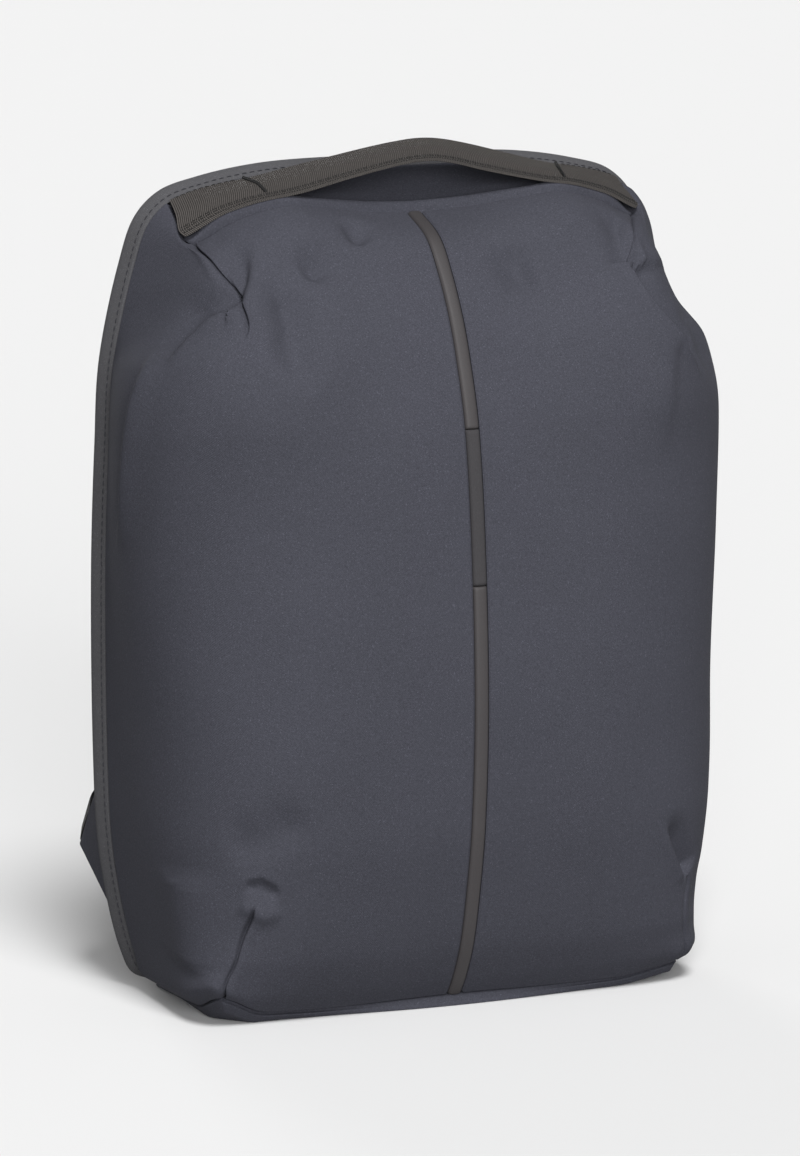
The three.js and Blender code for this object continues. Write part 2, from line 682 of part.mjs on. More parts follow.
// A padded shoulder strap, sewn to the back at the top and bowed away from it below.
function strapCurve(side) {
  const close = BACK_Y + STRAP_THICKNESS / 2 + SEAM_GAP;
  const reach = STRAP_TOP_HEIGHT - STRAP_LOW_HEIGHT;
  return new THREE.CatmullRomCurve3(
    STRAP_ROUTE.map((row) => {
      const spread = THREE.MathUtils.lerp(STRAP_TOP_SPREAD, STRAP_LOW_SPREAD, row.spread);
      const height = STRAP_TOP_HEIGHT - reach * row.down;
      return new THREE.Vector3(side * spread, close + STRAP_BOW * row.bow, height);
    }),
    false,
    "centripetal",
  );
}

function makeStrap(side) {
  const taper = (f) => 1 - STRAP_NARROWS.by * THREE.MathUtils.smoothstep(f, STRAP_NARROWS.from, 1);
  const across = new THREE.Vector3(side, 0, 0);
  const frames = curveFrames(strapCurve(side), STRAP_STEPS, across, across, taper);
  return ribbon(frames, STRAP_WIDTH, STRAP_THICKNESS, PADDED_SECTION);
}

// Where the ladder buckle hangs below the strap: its middle, and the strap's own directions.
function bucklePlace(side) {
  const curve = strapCurve(side);
  const along = curve.getTangentAt(1);
  const sideways = new THREE.Vector3(side, 0, 0).addScaledVector(along, -side * along.x).normalize();
  const length = 3 * BUCKLE_FRAME + 2 * BUCKLE_WINDOW;
  const middle = curve.getPointAt(1).addScaledVector(along, length / 2 + SEAM_GAP);
  return { middle, along, sideways, length };
}

// A ladder buckle: a plate with two slots for the webbing.
function makeBuckle(side) {
  const place = bucklePlace(side);
  const half = TAPE_WIDTH / 2 + TAPE_PLAY;
  const outer = half + BUCKLE_FRAME;
  const plate = new THREE.Shape();
  plate.moveTo(-outer, -place.length / 2);
  plate.lineTo(outer, -place.length / 2);
  plate.lineTo(outer, place.length / 2);
  plate.lineTo(-outer, place.length / 2);
  [-1, 1].forEach((row) => {
    const middle = (row * (BUCKLE_WINDOW + BUCKLE_FRAME)) / 2;
    const slot = new THREE.Path();
    slot.moveTo(-half, middle - BUCKLE_WINDOW / 2);
    slot.lineTo(-half, middle + BUCKLE_WINDOW / 2);
    slot.lineTo(half, middle + BUCKLE_WINDOW / 2);
    slot.lineTo(half, middle - BUCKLE_WINDOW / 2);
    plate.holes.push(slot);
  });
  const geometry = new THREE.ExtrudeGeometry(plate, {
    depth: BUCKLE_THICKNESS,
    bevelEnabled: false,
  });
  geometry.translate(0, 0, -BUCKLE_THICKNESS / 2);
  const up = place.along.clone().negate();
  const facing = new THREE.Vector3().crossVectors(place.sideways, up);
  geometry.applyMatrix4(new THREE.Matrix4().makeBasis(place.sideways, up, facing));
  geometry.translate(place.middle.x, place.middle.y, place.middle.z);
  return geometry;
}

// The direction of the tab's free edge, and the one square to it in which the webbing leaves.
const SLANT = THREE.MathUtils.degToRad(WING_SLANT);
const WING_EDGE = new THREE.Vector3(0, Math.cos(SLANT), -Math.sin(SLANT));
const TAPE_LEAVES = new THREE.Vector3(0, Math.sin(SLANT), Math.cos(SLANT));

function wingTip(side) {
  return new THREE.Vector3(
    side * (HALF_WIDTH - WING_TIP_INSET),
    BAND_REAR_Y + WING_REACH,
    WING_TIP_HEIGHT,
  );
}

// The fabric tab: sewn along the band's rear edge and drawn together at the webbing.
function makeWing(side) {
  const tip = wingTip(side);
  const base = (v) => {
    const z = THREE.MathUtils.lerp(WING_LOW, WING_HIGH, v);
    const q = shareWhere((share) => outlineCurve.getPointAt(share).y > z);
    return new THREE.Vector3(side * outlinePoint(q, BAND_CLOTH / 2).x, BAND_REAR_Y + WING_GAP, z);
  };
  const halfEdge = TAPE_WIDTH / 2 + TAPE_PLAY;
  const far = (v) => tip.clone().addScaledVector(WING_EDGE, halfEdge * (1 - 2 * v));
  const outer = evenShares(WING_ROWS).map((v) =>
    evenShares(WING_COLUMNS).map((f) => base(v).lerp(far(v), f)),
  );
  const inner = outer.map((row) => row.map((p) => p.clone().setX(p.x - side * CLOTH)));
  return solidFromGrids(outer, inner);
}

// The narrow webbing from the tab up to the ladder buckle's lower slot, and over its middle bar.
function makeTape(side) {
  const place = bucklePlace(side);
  const start = wingTip(side).addScaledVector(TAPE_LEAVES, WING_GAP);
  start.x -= (side * CLOTH) / 2;
  const slot = place.middle
    .clone()
    .addScaledVector(place.along, (BUCKLE_WINDOW + BUCKLE_FRAME) / 2);
  const facing = new THREE.Vector3(0, 1, 0)
    .addScaledVector(place.along, -place.along.y)
    .normalize();
  const near = (below, behind) =>
    slot.clone().addScaledVector(place.along, below).addScaledVector(facing, behind);
  const clear = (BUCKLE_THICKNESS + TAPE_THICKNESS) / 2 + SEAM_GAP;
  const under = near(BUCKLE_WINDOW * 2, clear * 1.6);
  const sweep = new THREE.CubicBezierCurve3(
    start,
    start.clone().addScaledVector(TAPE_LEAVES, TAPE_WIDTH),
    under.clone().addScaledVector(place.along, TAPE_WIDTH * 1.2),
    under,
  );
  const route = [
    ...sweep.getPoints(6),
    near(BUCKLE_WINDOW, clear * 1.4),
    near(BUCKLE_WINDOW * 0.25, clear * 0.8),
    near(-BUCKLE_WINDOW * 0.1, -BUCKLE_THICKNESS * 0.1),
  ];
  const curve = new THREE.CatmullRomCurve3(route, false, "centripetal");
  const frames = curveFrames(curve, TAPE_STEPS, WING_EDGE, place.sideways.clone().negate());
  return ribbon(frames, TAPE_WIDTH, TAPE_THICKNESS, FLAT_SECTION);
}

const CLOTH_LOOK = { color: 0x34353f, roughness: 0.85, metalness: 0 };
const BAND_LOOK = { color: 0x373840, roughness: 0.85, metalness: 0 };
const STRIP_LOOK = { color: 0x6a6664, roughness: 0.5, metalness: 0 };
const LABEL_LOOK = { color: 0x2d2d2f, roughness: 0.7, metalness: 0 };
const WEBBING_LOOK = { color: 0x4a4743, roughness: 0.75, metalness: 0 };
const PADDING_LOOK = { color: 0x2a2b31, roughness: 0.95, metalness: 0 };
const TAPE_LOOK = { color: 0x1c1c1e, roughness: 0.8, metalness: 0 };
const PLASTIC_LOOK = { color: 0x161617, roughness: 0.45, metalness: 0 };

const backpack = new THREE.Group();

function add(name, geometry, look) {
  const mesh = new THREE.Mesh(geometry, new THREE.MeshStandardMaterial(look));
  mesh.name = name;
  backpack.add(mesh);
}

const labelFrom = alongAtHeight(LABEL_BOTTOM);
const labelTo = alongAtHeight(LABEL_TOP);
const stripGap = SEAM_GAP / BODY_HEIGHT;

add("front_panel_left", makeShell(-1), CLOTH_LOOK);
add("front_panel_right", makeShell(1), CLOTH_LOOK);
add("reflective_strip_lower", makeStrip(0, labelFrom - stripGap, 20), STRIP_LOOK);
add("strip_label", makeStrip(labelFrom, labelTo, 6), LABEL_LOOK);
add("reflective_strip_upper", makeStrip(labelTo + stripGap, 1, 14), STRIP_LOOK);
add("top_panel", makeTopPanel(), CLOTH_LOOK);
add("bottom_panel", makeBottomPanel(), CLOTH_LOOK);
add("back_band", makeBand(), BAND_LOOK);
add("back_panel", makeBackPanel(), PADDING_LOOK);
add("handle", makeHandle(), WEBBING_LOOK);

[-1, 1].forEach((side) => {
  const word = side < 0 ? "left" : "right";
  add(`shoulder_strap_${word}`, makeStrap(side), PADDING_LOOK);
  add(`ladder_buckle_${word}`, makeBuckle(side), PLASTIC_LOOK);
  add(`strap_webbing_${word}`, makeTape(side), TAPE_LOOK);
  add(`strap_wing_${word}`, makeWing(side), CLOTH_LOOK);
});

export default backpack;
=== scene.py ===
# %% [markdown]
# # A soft laptop backpack, dressed
# The solid model gives every piece its place and its size. This lesson gives the pieces their
# cloth: walls that curl into their seams, darts, folds, a ribbed handle, stitches and weaves.
# Each piece is a surface, a function of two parameters, worked out with numpy on a grid. That
# way is chosen over sculpting because every fold is a number that can be read and changed.
#
# We start by loading the solid model as a fixed frame and noting how large it is.

# %% Load the frame
import math

import bpy
import numpy as np
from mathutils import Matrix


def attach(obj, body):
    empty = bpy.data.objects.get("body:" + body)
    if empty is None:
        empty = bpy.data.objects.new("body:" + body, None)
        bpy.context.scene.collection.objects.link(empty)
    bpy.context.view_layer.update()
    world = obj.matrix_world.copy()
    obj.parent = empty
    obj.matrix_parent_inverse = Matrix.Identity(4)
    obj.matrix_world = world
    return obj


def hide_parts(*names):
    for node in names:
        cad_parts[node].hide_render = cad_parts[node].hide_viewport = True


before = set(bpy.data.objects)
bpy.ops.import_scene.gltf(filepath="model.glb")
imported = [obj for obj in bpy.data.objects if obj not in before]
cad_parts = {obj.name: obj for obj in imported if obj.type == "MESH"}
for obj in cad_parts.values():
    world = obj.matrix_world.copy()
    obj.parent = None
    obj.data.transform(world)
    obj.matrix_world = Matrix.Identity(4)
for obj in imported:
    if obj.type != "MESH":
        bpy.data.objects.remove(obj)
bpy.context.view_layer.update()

# %% [markdown]
# ## The bag's sizes
# All sizes below are in millimetres, as a bag maker would write them, and become metres only when
# a mesh is built. They are the same sizes that the solid model has, so a cloth lies where its
# solid lies.

# %% Sizes in millimetres
BODY_HEIGHT = 440.0
HALF_WIDTH = 333.0 / 2
SHELL_DEPTH = 125.0
BAND_WIDTH = 12.0
BAND_FLARE = 4.0
BACK_THICKNESS = 12.0
BACK_Y = (SHELL_DEPTH + BAND_WIDTH + BACK_THICKNESS) / 2
BAND_REAR_Y = BACK_Y - BACK_THICKNESS
SEAM_Y = BAND_REAR_Y - BAND_WIDTH
CLOTH = 2.0
SEAM_GAP = 0.4
STRIP_WIDTH = 7.4
STRIP_EDGE = STRIP_WIDTH / 2 + SEAM_GAP
LABEL_BOTTOM, LABEL_TOP = 231.0, 311.0
WEBBING_WIDTH, WEBBING_THICKNESS = 30.0, 2.4

# %% [markdown]
# ## Tables
# A soft form is easiest to describe as a short table: a row for each section, with a name over
# each column. Between the rows we read along a smooth curve.

# %% Named columns and a smooth reading between rows
def table(names, rows):
    """Rows of numbers as named columns. The first column is the one that is read along."""
    return dict(zip(names.split(), np.array(rows, float).T))


def read(source, at, name):
    """One column at any place: between two rows, the cubic that passes through both and leaves
    each with the slope between that row's two neighbours."""
    keys, values = next(iter(source.values())), source[name]
    at = np.asarray(at, float)
    last = len(keys) - 1
    low = np.clip(np.searchsorted(keys, at, side="left") - 1, 0, last - 1)
    rows = np.arange(last + 1)
    before, after = np.maximum(rows - 1, 0), np.minimum(rows + 1, last)
    slope = (values[after] - values[before]) / (keys[after] - keys[before])
    span = keys[low + 1] - keys[low]
    f = (at - keys[low]) / span
    rise = 3 * f**2 - 2 * f**3
    level = values[low] * (1 - rise) + values[low + 1] * rise
    return level + span * (slope[low] * (f**3 - 2 * f**2 + f) + slope[low + 1] * (f**3 - f**2))


def ease(x, start, end):
    """A smooth step: 0 up to start, 1 from end on, and level at both."""
    f = np.clip((x - start) / (end - start), 0, 1)
    return f * f * (3 - 2 * f)


def bell(x, width):
    """A bell curve: 1 at zero, and exp(-(x / width)^2) away from it."""
    return np.exp(-((x / width) ** 2))


# %% [markdown]
# The outline is the bag seen from behind, as shares of its half width and its height. A section
# is the shell cut level: how far it stands forward, how high that row lies on the front, how
# square its corner is, and how much it bulges or is pinched beside the dart. A dart's line and the
# edge tables run by the turn round the girth. All were read off the photograph, partly by fitting
# its outline.

# %% The outline of the back and the sections of the shell
OUTLINE = table("across up", [
    (0, 0), (0.45, 0), (0.815, 0.002), (0.885, 0.016), (0.918, 0.05), (0.956, 0.11),
    (0.988, 0.19), (1, 0.3), (1, 0.52), (0.985, 0.67), (0.968, 0.77), (0.9, 0.885),
    (0.846, 0.94), (0.766, 0.969), (0.64, 0.984), (0.42, 0.997), (0, 1),
])
SECTIONS = table("along front up square bulge pinch", [
    (0, 0.69, 0.011, 20, 0, 0),
    (0.036, 0.765, 0.041, 9, 0, -0.01),
    (0.085, 0.845, 0.086, 6, 0, 0.04),
    (0.156, 0.915, 0.157, 4.6, 0, 0.055),
    (0.237, 0.97, 0.239, 3.8, 0, 0.03),
    (0.377, 1, 0.382, 3.2, 0.004, 0.015),
    (0.551, 0.965, 0.562, 3.1, 0.03, 0),
    (0.693, 0.89, 0.708, 3.4, 0.055, 0),
    (0.781, 0.785, 0.792, 4.6, 0.045, 0.05),
    (0.831, 0.7, 0.839, 8, 0.01, 0.15),
    (0.886, 0.585, 0.884, 12, 0, 0.16),
    (0.936, 0.455, 0.92, 14, 0, 0.14),
    (1, 0.24, 0.9425, 18, 0, 0.01),
])
DART_LEFT = table("along turn", [
    (0, 0.5), (0.02, 0.482), (0.06, 0.483), (0.1, 0.48), (0.12, 0.473), (0.155, 0.453),
    (0.45, 0.44), (0.75, 0.445), (0.818, 0.452), (0.84, 0.463), (0.86, 0.478), (0.88, 0.497),
    (0.9, 0.516), (0.92, 0.528), (0.94, 0.527), (0.96, 0.514), (0.98, 0.504), (1, 0.5),
])
DART_RIGHT = table("along turn", [
    (0, 0.5), (0.03, 0.488), (0.06, 0.493), (0.1, 0.497), (0.14, 0.499), (0.45, 0.46),
    (0.75, 0.46), (0.86, 0.446), (0.88, 0.453), (0.9, 0.463), (0.92, 0.475), (0.94, 0.48),
    (0.96, 0.482), (0.98, 0.487), (1, 0.5),
])
DART_STOPS = {-1: (0.155, 0.815), 1: (0.14, 0.862)}
TOP_EDGE = {-1: table("turn lift push draw", [
    (0, 0, 0, 0), (0.12, 0.004, 0.02, 0), (0.26, 0.014, 0.07, 0), (0.35, 0.019, 0.095, 0),
    (0.43, 0.004, 0.06, -0.008), (0.5, -0.0235, 0.02, -0.018), (0.68, -0.011, 0, -0.006),
    (1, 0, 0, 0),
]), 1: table("turn lift push draw", [
    (0, 0, 0, 0), (0.12, 0.004, 0.02, 0), (0.26, 0.014, 0.07, 0), (0.35, 0.019, 0.095, 0),
    (0.43, 0.004, 0.06, -0.006), (0.5, -0.019, 0.02, -0.015), (0.68, -0.011, 0, -0.005),
    (1, 0, 0, 0),
])}
BOTTOM_EDGE = {-1: table("turn lift push draw", [
    (0, 0, 0, 0), (0.42, 0, 0, 0), (0.5, 0.024, 0.045, 0), (0.6, 0.004, 0.01, 0), (1, 0, 0, 0),
]), 1: table("turn lift push draw", [
    (0, 0, 0, 0), (0.38, 0, 0, 0), (0.5, 0.0117, 0, 0.013), (0.62, 0.006, 0, 0), (1, 0, 0, 0),
])}
EDGE_FADE = 0.13
print("rows of the outline and of the sections:", len(OUTLINE["up"]), len(SECTIONS["up"]))

# %% [markdown]
# Points become curves with equal steps, so that a share of a curve is a share of its length. The
# outline could be drawn by arcs, but a curve through points follows the bag's soft corners.

# %% The outline as a curve with equal steps
def smooth_curve(points, steps=200):
    """A curve through points: each stretch is a cubic whose slopes depend on the square roots of
    the distances to the neighbours, so that close points make no loops. Returns the shares of the
    length, the places, the directions and the whole length."""
    p = np.asarray(points, float)
    p = np.vstack([2 * p[0] - p[1], p, 2 * p[-1] - p[-2]])
    gap = np.sqrt(np.linalg.norm(np.diff(p, axis=0), axis=1))[:, None]
    a, b, c, d = p[:-3], p[1:-2], p[2:-1], p[3:]
    g0, g1, g2 = gap[:-2], gap[1:-1], gap[2:]
    leave = ((b - a) / g0 - (c - a) / (g0 + g1) + (c - b) / g1) * g1
    arrive = ((c - b) / g1 - (d - b) / (g1 + g2) + (d - c) / g2) * g1
    f = np.linspace(0, 1, steps, endpoint=False)[None, :, None]
    curve = (b[:, None] + leave[:, None] * f
             + (3 * (c - b) - 2 * leave - arrive)[:, None] * f**2
             + (2 * (b - c) + leave + arrive)[:, None] * f**3).reshape(-1, p.shape[1])
    curve = np.vstack([curve, p[-2]])
    length = np.concatenate([[0], np.cumsum(np.linalg.norm(np.diff(curve, axis=0), axis=1))])
    along = np.gradient(curve, length, axis=0)
    return length / length[-1], curve, along / np.linalg.norm(along, axis=1)[:, None], length[-1]


def on_curve(curve, share):
    """The place and the direction at a share of a curve's length."""
    shares, places, directions, _ = curve
    place = np.stack([np.interp(share, shares, places[:, k]) for k in range(places.shape[1])], -1)
    way = np.stack([np.interp(share, shares, directions[:, k]) for k in range(places.shape[1])], -1)
    return place, way / np.linalg.norm(way, axis=-1, keepdims=True)


LOW_CORNER_ACROSS, HIGH_CORNER_UP = 0.815, 0.968
outline = smooth_curve(np.stack([OUTLINE["across"] * HALF_WIDTH, OUTLINE["up"] * BODY_HEIGHT], 1))
CORNER_LOW = outline[0][np.argmax(outline[1][:, 0] > LOW_CORNER_ACROSS * HALF_WIDTH)]
CORNER_HIGH = outline[0][np.argmax(outline[1][:, 1] > HIGH_CORNER_UP * BODY_HEIGHT)]
print("half outline, mm:", round(float(outline[3])), "corners at", CORNER_LOW.round(3),
      CORNER_HIGH.round(3))


def outline_point(share, inset):
    """A point of the half outline, moved square to it, inwards, by inset."""
    place, way = on_curve(outline, share)
    return place[..., 0] - way[..., 1] * inset, place[..., 1] + way[..., 0] * inset

# %% [markdown]
# ## The shell's plain form
# The front of the bag is one cloth tube, cut open at the back. Round the girth it is a rounded
# box, and up the height its depth, height and squareness change. A superellipse gives such a
# section: the larger its power, the squarer its corner.

# %% The plain surface of the right half
def plain_shell(turn, along, side=-1):
    """turn runs round the girth from the middle strip, 0, to the band, 1, and along runs from the
    bottom seam to the top seam. The reach of the superellipse is
    (sin(angle)^n + cos(angle)^n)^(-1/n), and sideways and forwards are its two parts. The back
    edge lies on the outline, the middle of the front follows the table. Near the seams the edge
    tables of the side lift the surface, push it forwards and draw it to the middle."""
    section = {name: read(SECTIONS, along, name) for name in SECTIONS}
    angle = turn * np.pi / 2
    n = section["square"]
    sine, cosine = np.clip(np.sin(angle), 0, 1), np.clip(np.cos(angle), 0, 1)
    reach = (sine**n + cosine**n) ** (-1 / n)
    sideways, forwards = sine * reach, cosine * reach
    back_x, back_z = outline_point(CORNER_LOW + (CORNER_HIGH - CORNER_LOW) * along, BAND_FLARE)
    swell = 1 + section["bulge"] * 4 * forwards * (1 - forwards) - section["pinch"] * forwards
    top, bottom = ease(along, 1 - EDGE_FADE, 1), 1 - ease(along, 0, EDGE_FADE)
    lift, push, draw = (top * read(TOP_EDGE[side], turn, name)
                        + bottom * read(BOTTOM_EDGE[side], turn, name)
                        for name in ("lift", "push", "draw"))
    return np.stack([
        STRIP_EDGE + (back_x * swell - STRIP_EDGE) * sideways - HALF_WIDTH * draw,
        SEAM_Y - SHELL_DEPTH * (section["front"] * forwards + push),
        back_z + (section["up"] * BODY_HEIGHT - back_z) * forwards + BODY_HEIGHT * lift,
    ], -1)


CORE_ACROSS, CORE_DEEP, CORE_LOW, CORE_HIGH = 0.52, 0.52, 0.16, 0.83


def inward(p):
    """The direction from a point of the outside to the nearest point of a box inside the bag,
    whose shares of the bag's size are the core's. No crease may reach that box."""
    side = CORE_ACROSS * HALF_WIDTH
    core = np.stack([
        np.clip(p[..., 0], -side, side),
        np.maximum(p[..., 1], SEAM_Y - CORE_DEEP * SHELL_DEPTH),
        np.clip(p[..., 2], CORE_LOW * BODY_HEIGHT, CORE_HIGH * BODY_HEIGHT),
    ], -1) - p
    return core / np.linalg.norm(core, axis=-1, keepdims=True)

# %% [markdown]
# ## Folds
# Cloth that is pulled into a dart puffs up beside it and creases away from it. A fold is a path
# over the plain surface. Across it the cloth sinks or rises like a bell curve, with a width of its
# own on each side, because a real fold is steep where the cloth is pulled and soft where it is
# slack. A crest beside the path is the cloth that was pushed up. Cloth simulation would give
# folds too, but not these ones: each of these lies where the photograph has it.

# %% A fold and the fold lists
def fold(path, depth, left, right, crest=0.0, ends=(0.15, 0.25)):
    """A path of (turn, along) places and, in millimetres, its depth, negative for a crease, its
    widths to the left and right of the path's direction, and the height of the crest, on the
    right side where it is positive. ends are the shares of the path over which it fades."""
    return dict(path=np.array(path, float), depth=depth, left=left, right=right, crest=crest,
                ends=ends)


LEFT_FOLDS = [
    fold([(0.36, 0.80), (0.42, 0.76)], 7.5, 37, 37, ends=(0.0, 0.0)),
    fold([(0.484, 0.864), (0.507, 0.860), (0.55, 0.850), (0.58, 0.838), (0.603, 0.820),
          (0.612, 0.800), (0.606, 0.775)], -8.5, 14.0, 3.0, 1.2, (0.12, 0.5)),
    fold([(0.687, 0.81), (0.667, 0.775), (0.70, 0.74), (0.74, 0.688), (0.803, 0.603),
          (0.873, 0.555)], 4.0, 2.6, 10.0, 0.0, (0.25, 0.35)),
    fold([(0.452, 0.965), (0.473, 0.920), (0.482, 0.888), (0.491, 0.868)], -7.0, 9.0, 6.0, 1.2,
         (0.4, 0.0)),
    fold([(0.395, 0.908), (0.405, 0.868), (0.402, 0.843), (0.377, 0.807), (0.343, 0.772),
          (0.317, 0.743)], -10.0, 6.5, 15.0, -0.8, (0.4, 0.45)),
    fold([(0.352, 0.935), (0.337, 0.902), (0.311, 0.870)], -7.5, 5.5, 11.0, 0.0, (0.4, 0.5)),
    fold([(0.208, 0.978), (0.208, 0.943), (0.185, 0.920)], -6.0, 5.5, 10.0, 0.0, (0.4, 0.5)),
    fold([(0.475, 0.172), (0.46, 0.181), (0.44, 0.183), (0.417, 0.174), (0.408, 0.160)],
         -3.0, 5.5, 2.0, 0.6, (0.3, 0.3)),
    fold([(0.482, 0.160), (0.46, 0.151), (0.43, 0.141), (0.403, 0.152)], 2.2, 4.0, 4.0, 0.0,
         (0.2, 0.2)),
    fold([(0.34, 0.27), (0.43, 0.232), (0.52, 0.228)], -3.0, 14.0, 10.0, 0.0, (0.3, 0.3)),
    fold([(0.62, 0.20), (0.60, 0.06)], 3.0, 18.0, 18.0, 0.0, (0.2, 0.2)),
]
RIGHT_FOLDS = [
    fold([(0.36, 0.79), (0.41, 0.75)], 5.5, 34, 34, ends=(0.0, 0.0)),
    fold([(0.76, 1.0), (0.80, 0.93)], 4.2, 16, 16, 0.0, (0.0, 0.0)),
    fold([(0.447, 0.880), (0.46, 0.843), (0.473, 0.820), (0.48, 0.802), (0.487, 0.775),
          (0.51, 0.758), (0.54, 0.725)], -8.5, 22.0, 3.2, 2.0, (0.06, 0.35)),
    fold([(0.473, 0.80), (0.42, 0.772), (0.403, 0.74), (0.40, 0.688), (0.38, 0.62)],
         2.6, 6.0, 14.0, 0.0, (0.15, 0.5)),
    fold([(0.60, 0.795), (0.60, 0.765)], -6.0, 13.0, 13.0, 0.0, (0.0, 0.0)),
    fold([(0.18, 0.918), (0.19, 0.895), (0.203, 0.825)], -6.5, 6.0, 12.0, -1.2, (0.35, 0.45)),
    fold([(0.443, 0.975), (0.45, 0.927), (0.45, 0.897), (0.449, 0.880)], -6.0, 3.6, 11.0, -1.6,
         (0.25, 0.05)),
    fold([(0.41, 0.225), (0.445, 0.190), (0.475, 0.162), (0.497, 0.142)], -6.0, 8.0, 3.2, 2.0,
         (0.4, 0.1)),
    fold([(0.57, 0.125), (0.56, 0.105)], -2.4, 10.0, 10.0, 0.0, (0.0, 0.0)),
]
print("folds on the left and on the right half:", len(LEFT_FOLDS), len(RIGHT_FOLDS))

# %% How high the folds stand
SWELLS, SWELL_SEED = 34, 5
SWELL_LOW, SWELL_HIGH = (10, -80, 30), (165, 45, 400)
SWELL_SIZE, SWELL_RISE = (22, 42), (-1.3, 1.3)
PATH_STEPS = 16
CREST_AT, CREST_WIDTH = 1.6, 0.9


def uneven_height(side, p):
    """Wide, low bell curves at seeded places make the cloth a little uneven."""
    height = np.zeros(p.shape[:-1])
    rng = np.random.default_rng(SWELL_SEED + int(side))
    for _ in range(SWELLS):
        place = rng.uniform(SWELL_LOW, SWELL_HIGH)
        size, rise = rng.uniform(*SWELL_SIZE), rng.uniform(*SWELL_RISE)
        height += rise * np.exp(-(np.sum((p - place) ** 2, -1) / size**2))
    return height


def fold_height(side, p):
    """The height that all folds add at the points of a plain surface. For each fold, the nearest
    place of its path gives a distance and a side. Its height is a bell curve of that distance,
    and its crest is a second bell curve, one and a half widths away."""
    height = uneven_height(side, p)
    outward = -inward(p)
    for f in LEFT_FOLDS if side < 0 else RIGHT_FOLDS:
        share = np.linspace(0, 1, PATH_STEPS * (len(f["path"]) - 1) + 1)
        rows = np.linspace(0, 1, len(f["path"]))
        turn, along = (np.interp(share, rows, f["path"][:, k]) for k in (0, 1))
        line = plain_shell(turn, along, side)
        way = np.gradient(line, axis=0)
        gaps = np.stack([np.linalg.norm(p - q, axis=-1) for q in line])
        near = gaps.argmin(axis=0)
        away = np.take_along_axis(gaps, near[None], axis=0)[0]
        on_right = np.sum(np.cross(way[near], p - line[near]) * outward, -1) < 0
        width = np.where(on_right, f["right"], f["left"])
        start, end = f["ends"]
        fade = (ease(share, 0, start) if start else 1) * (ease(1 - share, 0, end) if end else 1)
        strength = np.broadcast_to(fade, share.shape)[near]
        height += f["depth"] * strength * bell(away, width)
        crest_side = on_right if f["crest"] > 0 else ~on_right
        beyond = bell(away - CREST_AT * width, CREST_WIDTH * width)
        height += abs(f["crest"]) * strength * crest_side * beyond
    return height

# %% [markdown]
# ## Darts and seams
# A dart is a wedge of cloth taken up and sewn. From outside it is a fine dark valley between two
# puffed lips, deepest at the seam. Every edge of a panel curls in, over the last millimetre,
# because that is where it is turned and sewn to its neighbour. Pairs below are a height and a
# distance, both in millimetres.

# %% Darts and edge curls
LIP_HEIGHT, LIP_AT, LIP_WIDTH = 1.0, 4.5, 3.5
VALLEY, VALLEY_END = (2.7, 0.75), (1.2, 0.4)
OPEN_AT, OPEN_WIDTH = 0.16, 0.12
STRIP_CURL, BAND_CURL, BASE_CURL, TOP_CURL = (0.8, 0.7), (0.9, 0.8), (3.0, 0.8), (3.0, 0.9)
FOLDS_FROM_EDGE, LIPS_FROM_SEAM = 9, 8


def dart_reach(side, along):
    """1 at the seams, falling to nothing where a dart ends."""
    low_stop, high_stop = DART_STOPS[side]
    low = 1 - along / low_stop
    high = 1 - (1 - along) / (1 - high_stop)
    return np.clip(np.maximum(low, high), 0, 1)


def turn_of(column, along, dart_line=DART_LEFT):
    """A column from 0, the strip, over 0.5, the dart, to 1, the band, as a turn."""
    dart = read(dart_line, along, "turn")
    return np.where(column < 0.5, column * 2 * dart, dart + (column - 0.5) * 2 * (1 - dart))


def curl(distance, depth, reach):
    """How far an edge is turned in, at a distance from it: a bell curve, in millimetres."""
    return depth * bell(distance, reach)


def running(grid, axis):
    """The length along a grid's rows or columns, in millimetres, from the first point on."""
    steps = np.linalg.norm(np.diff(grid, axis=axis), axis=-1)
    zero = np.zeros_like(np.take(steps, [0], axis=axis))
    return np.cumsum(np.concatenate([zero, steps], axis=axis), axis=axis)


# %% The finished shell surface
def shell(side, columns, rows):
    """The outside of one half, side -1 for the left and 1 for the right. Folds, the darts' valley
    and lips, and the curled edges all move the plain surface along the same inward direction."""
    along, column = np.meshgrid(rows, columns, indexing="ij")
    p = plain_shell(turn_of(column, along, DART_LEFT if side < 0 else DART_RIGHT), along, side)
    from_strip, from_base = running(p, 1), running(p, 0)
    to_band, to_top = from_strip[:, -1:] - from_strip, from_base[-1:] - from_base
    at_dart = np.array([np.interp(0.5, columns, row) for row in from_strip])[:, None]
    across = from_strip - at_dart
    edge = np.minimum(np.minimum(from_strip, to_band), np.minimum(from_base, to_top))
    out = fold_height(side, p) * ease(edge, 0, FOLDS_FROM_EDGE)
    reach = dart_reach(side, along)
    lip = LIP_HEIGHT * bell(np.abs(across) - LIP_AT, LIP_WIDTH)
    out += ease(np.minimum(from_base, to_top), 0, LIPS_FROM_SEAM) * np.sqrt(reach) * lip
    open_end = bell(reach - OPEN_AT, OPEN_WIDTH)
    valley = curl(across, *(v + e * open_end for v, e in zip(VALLEY, VALLEY_END)))
    out -= ease(reach, 0, 0.06) * valley
    out -= curl(from_strip, *STRIP_CURL) + curl(to_band, *BAND_CURL)
    out -= curl(from_base, *BASE_CURL) + curl(to_top, *TOP_CURL)
    return (p - inward(p) * out[..., None]) * np.array([side, 1, 1])

# %% [markdown]
# ## From a grid to a mesh
# Every wall is two grids of points, an outer and an inner one, joined round the rim. The faces
# are laid out as whole arrays. Each vertex also gets its place in the cloth, in metres, as a UV
# map, so that a weave keeps its true size and follows the folds.

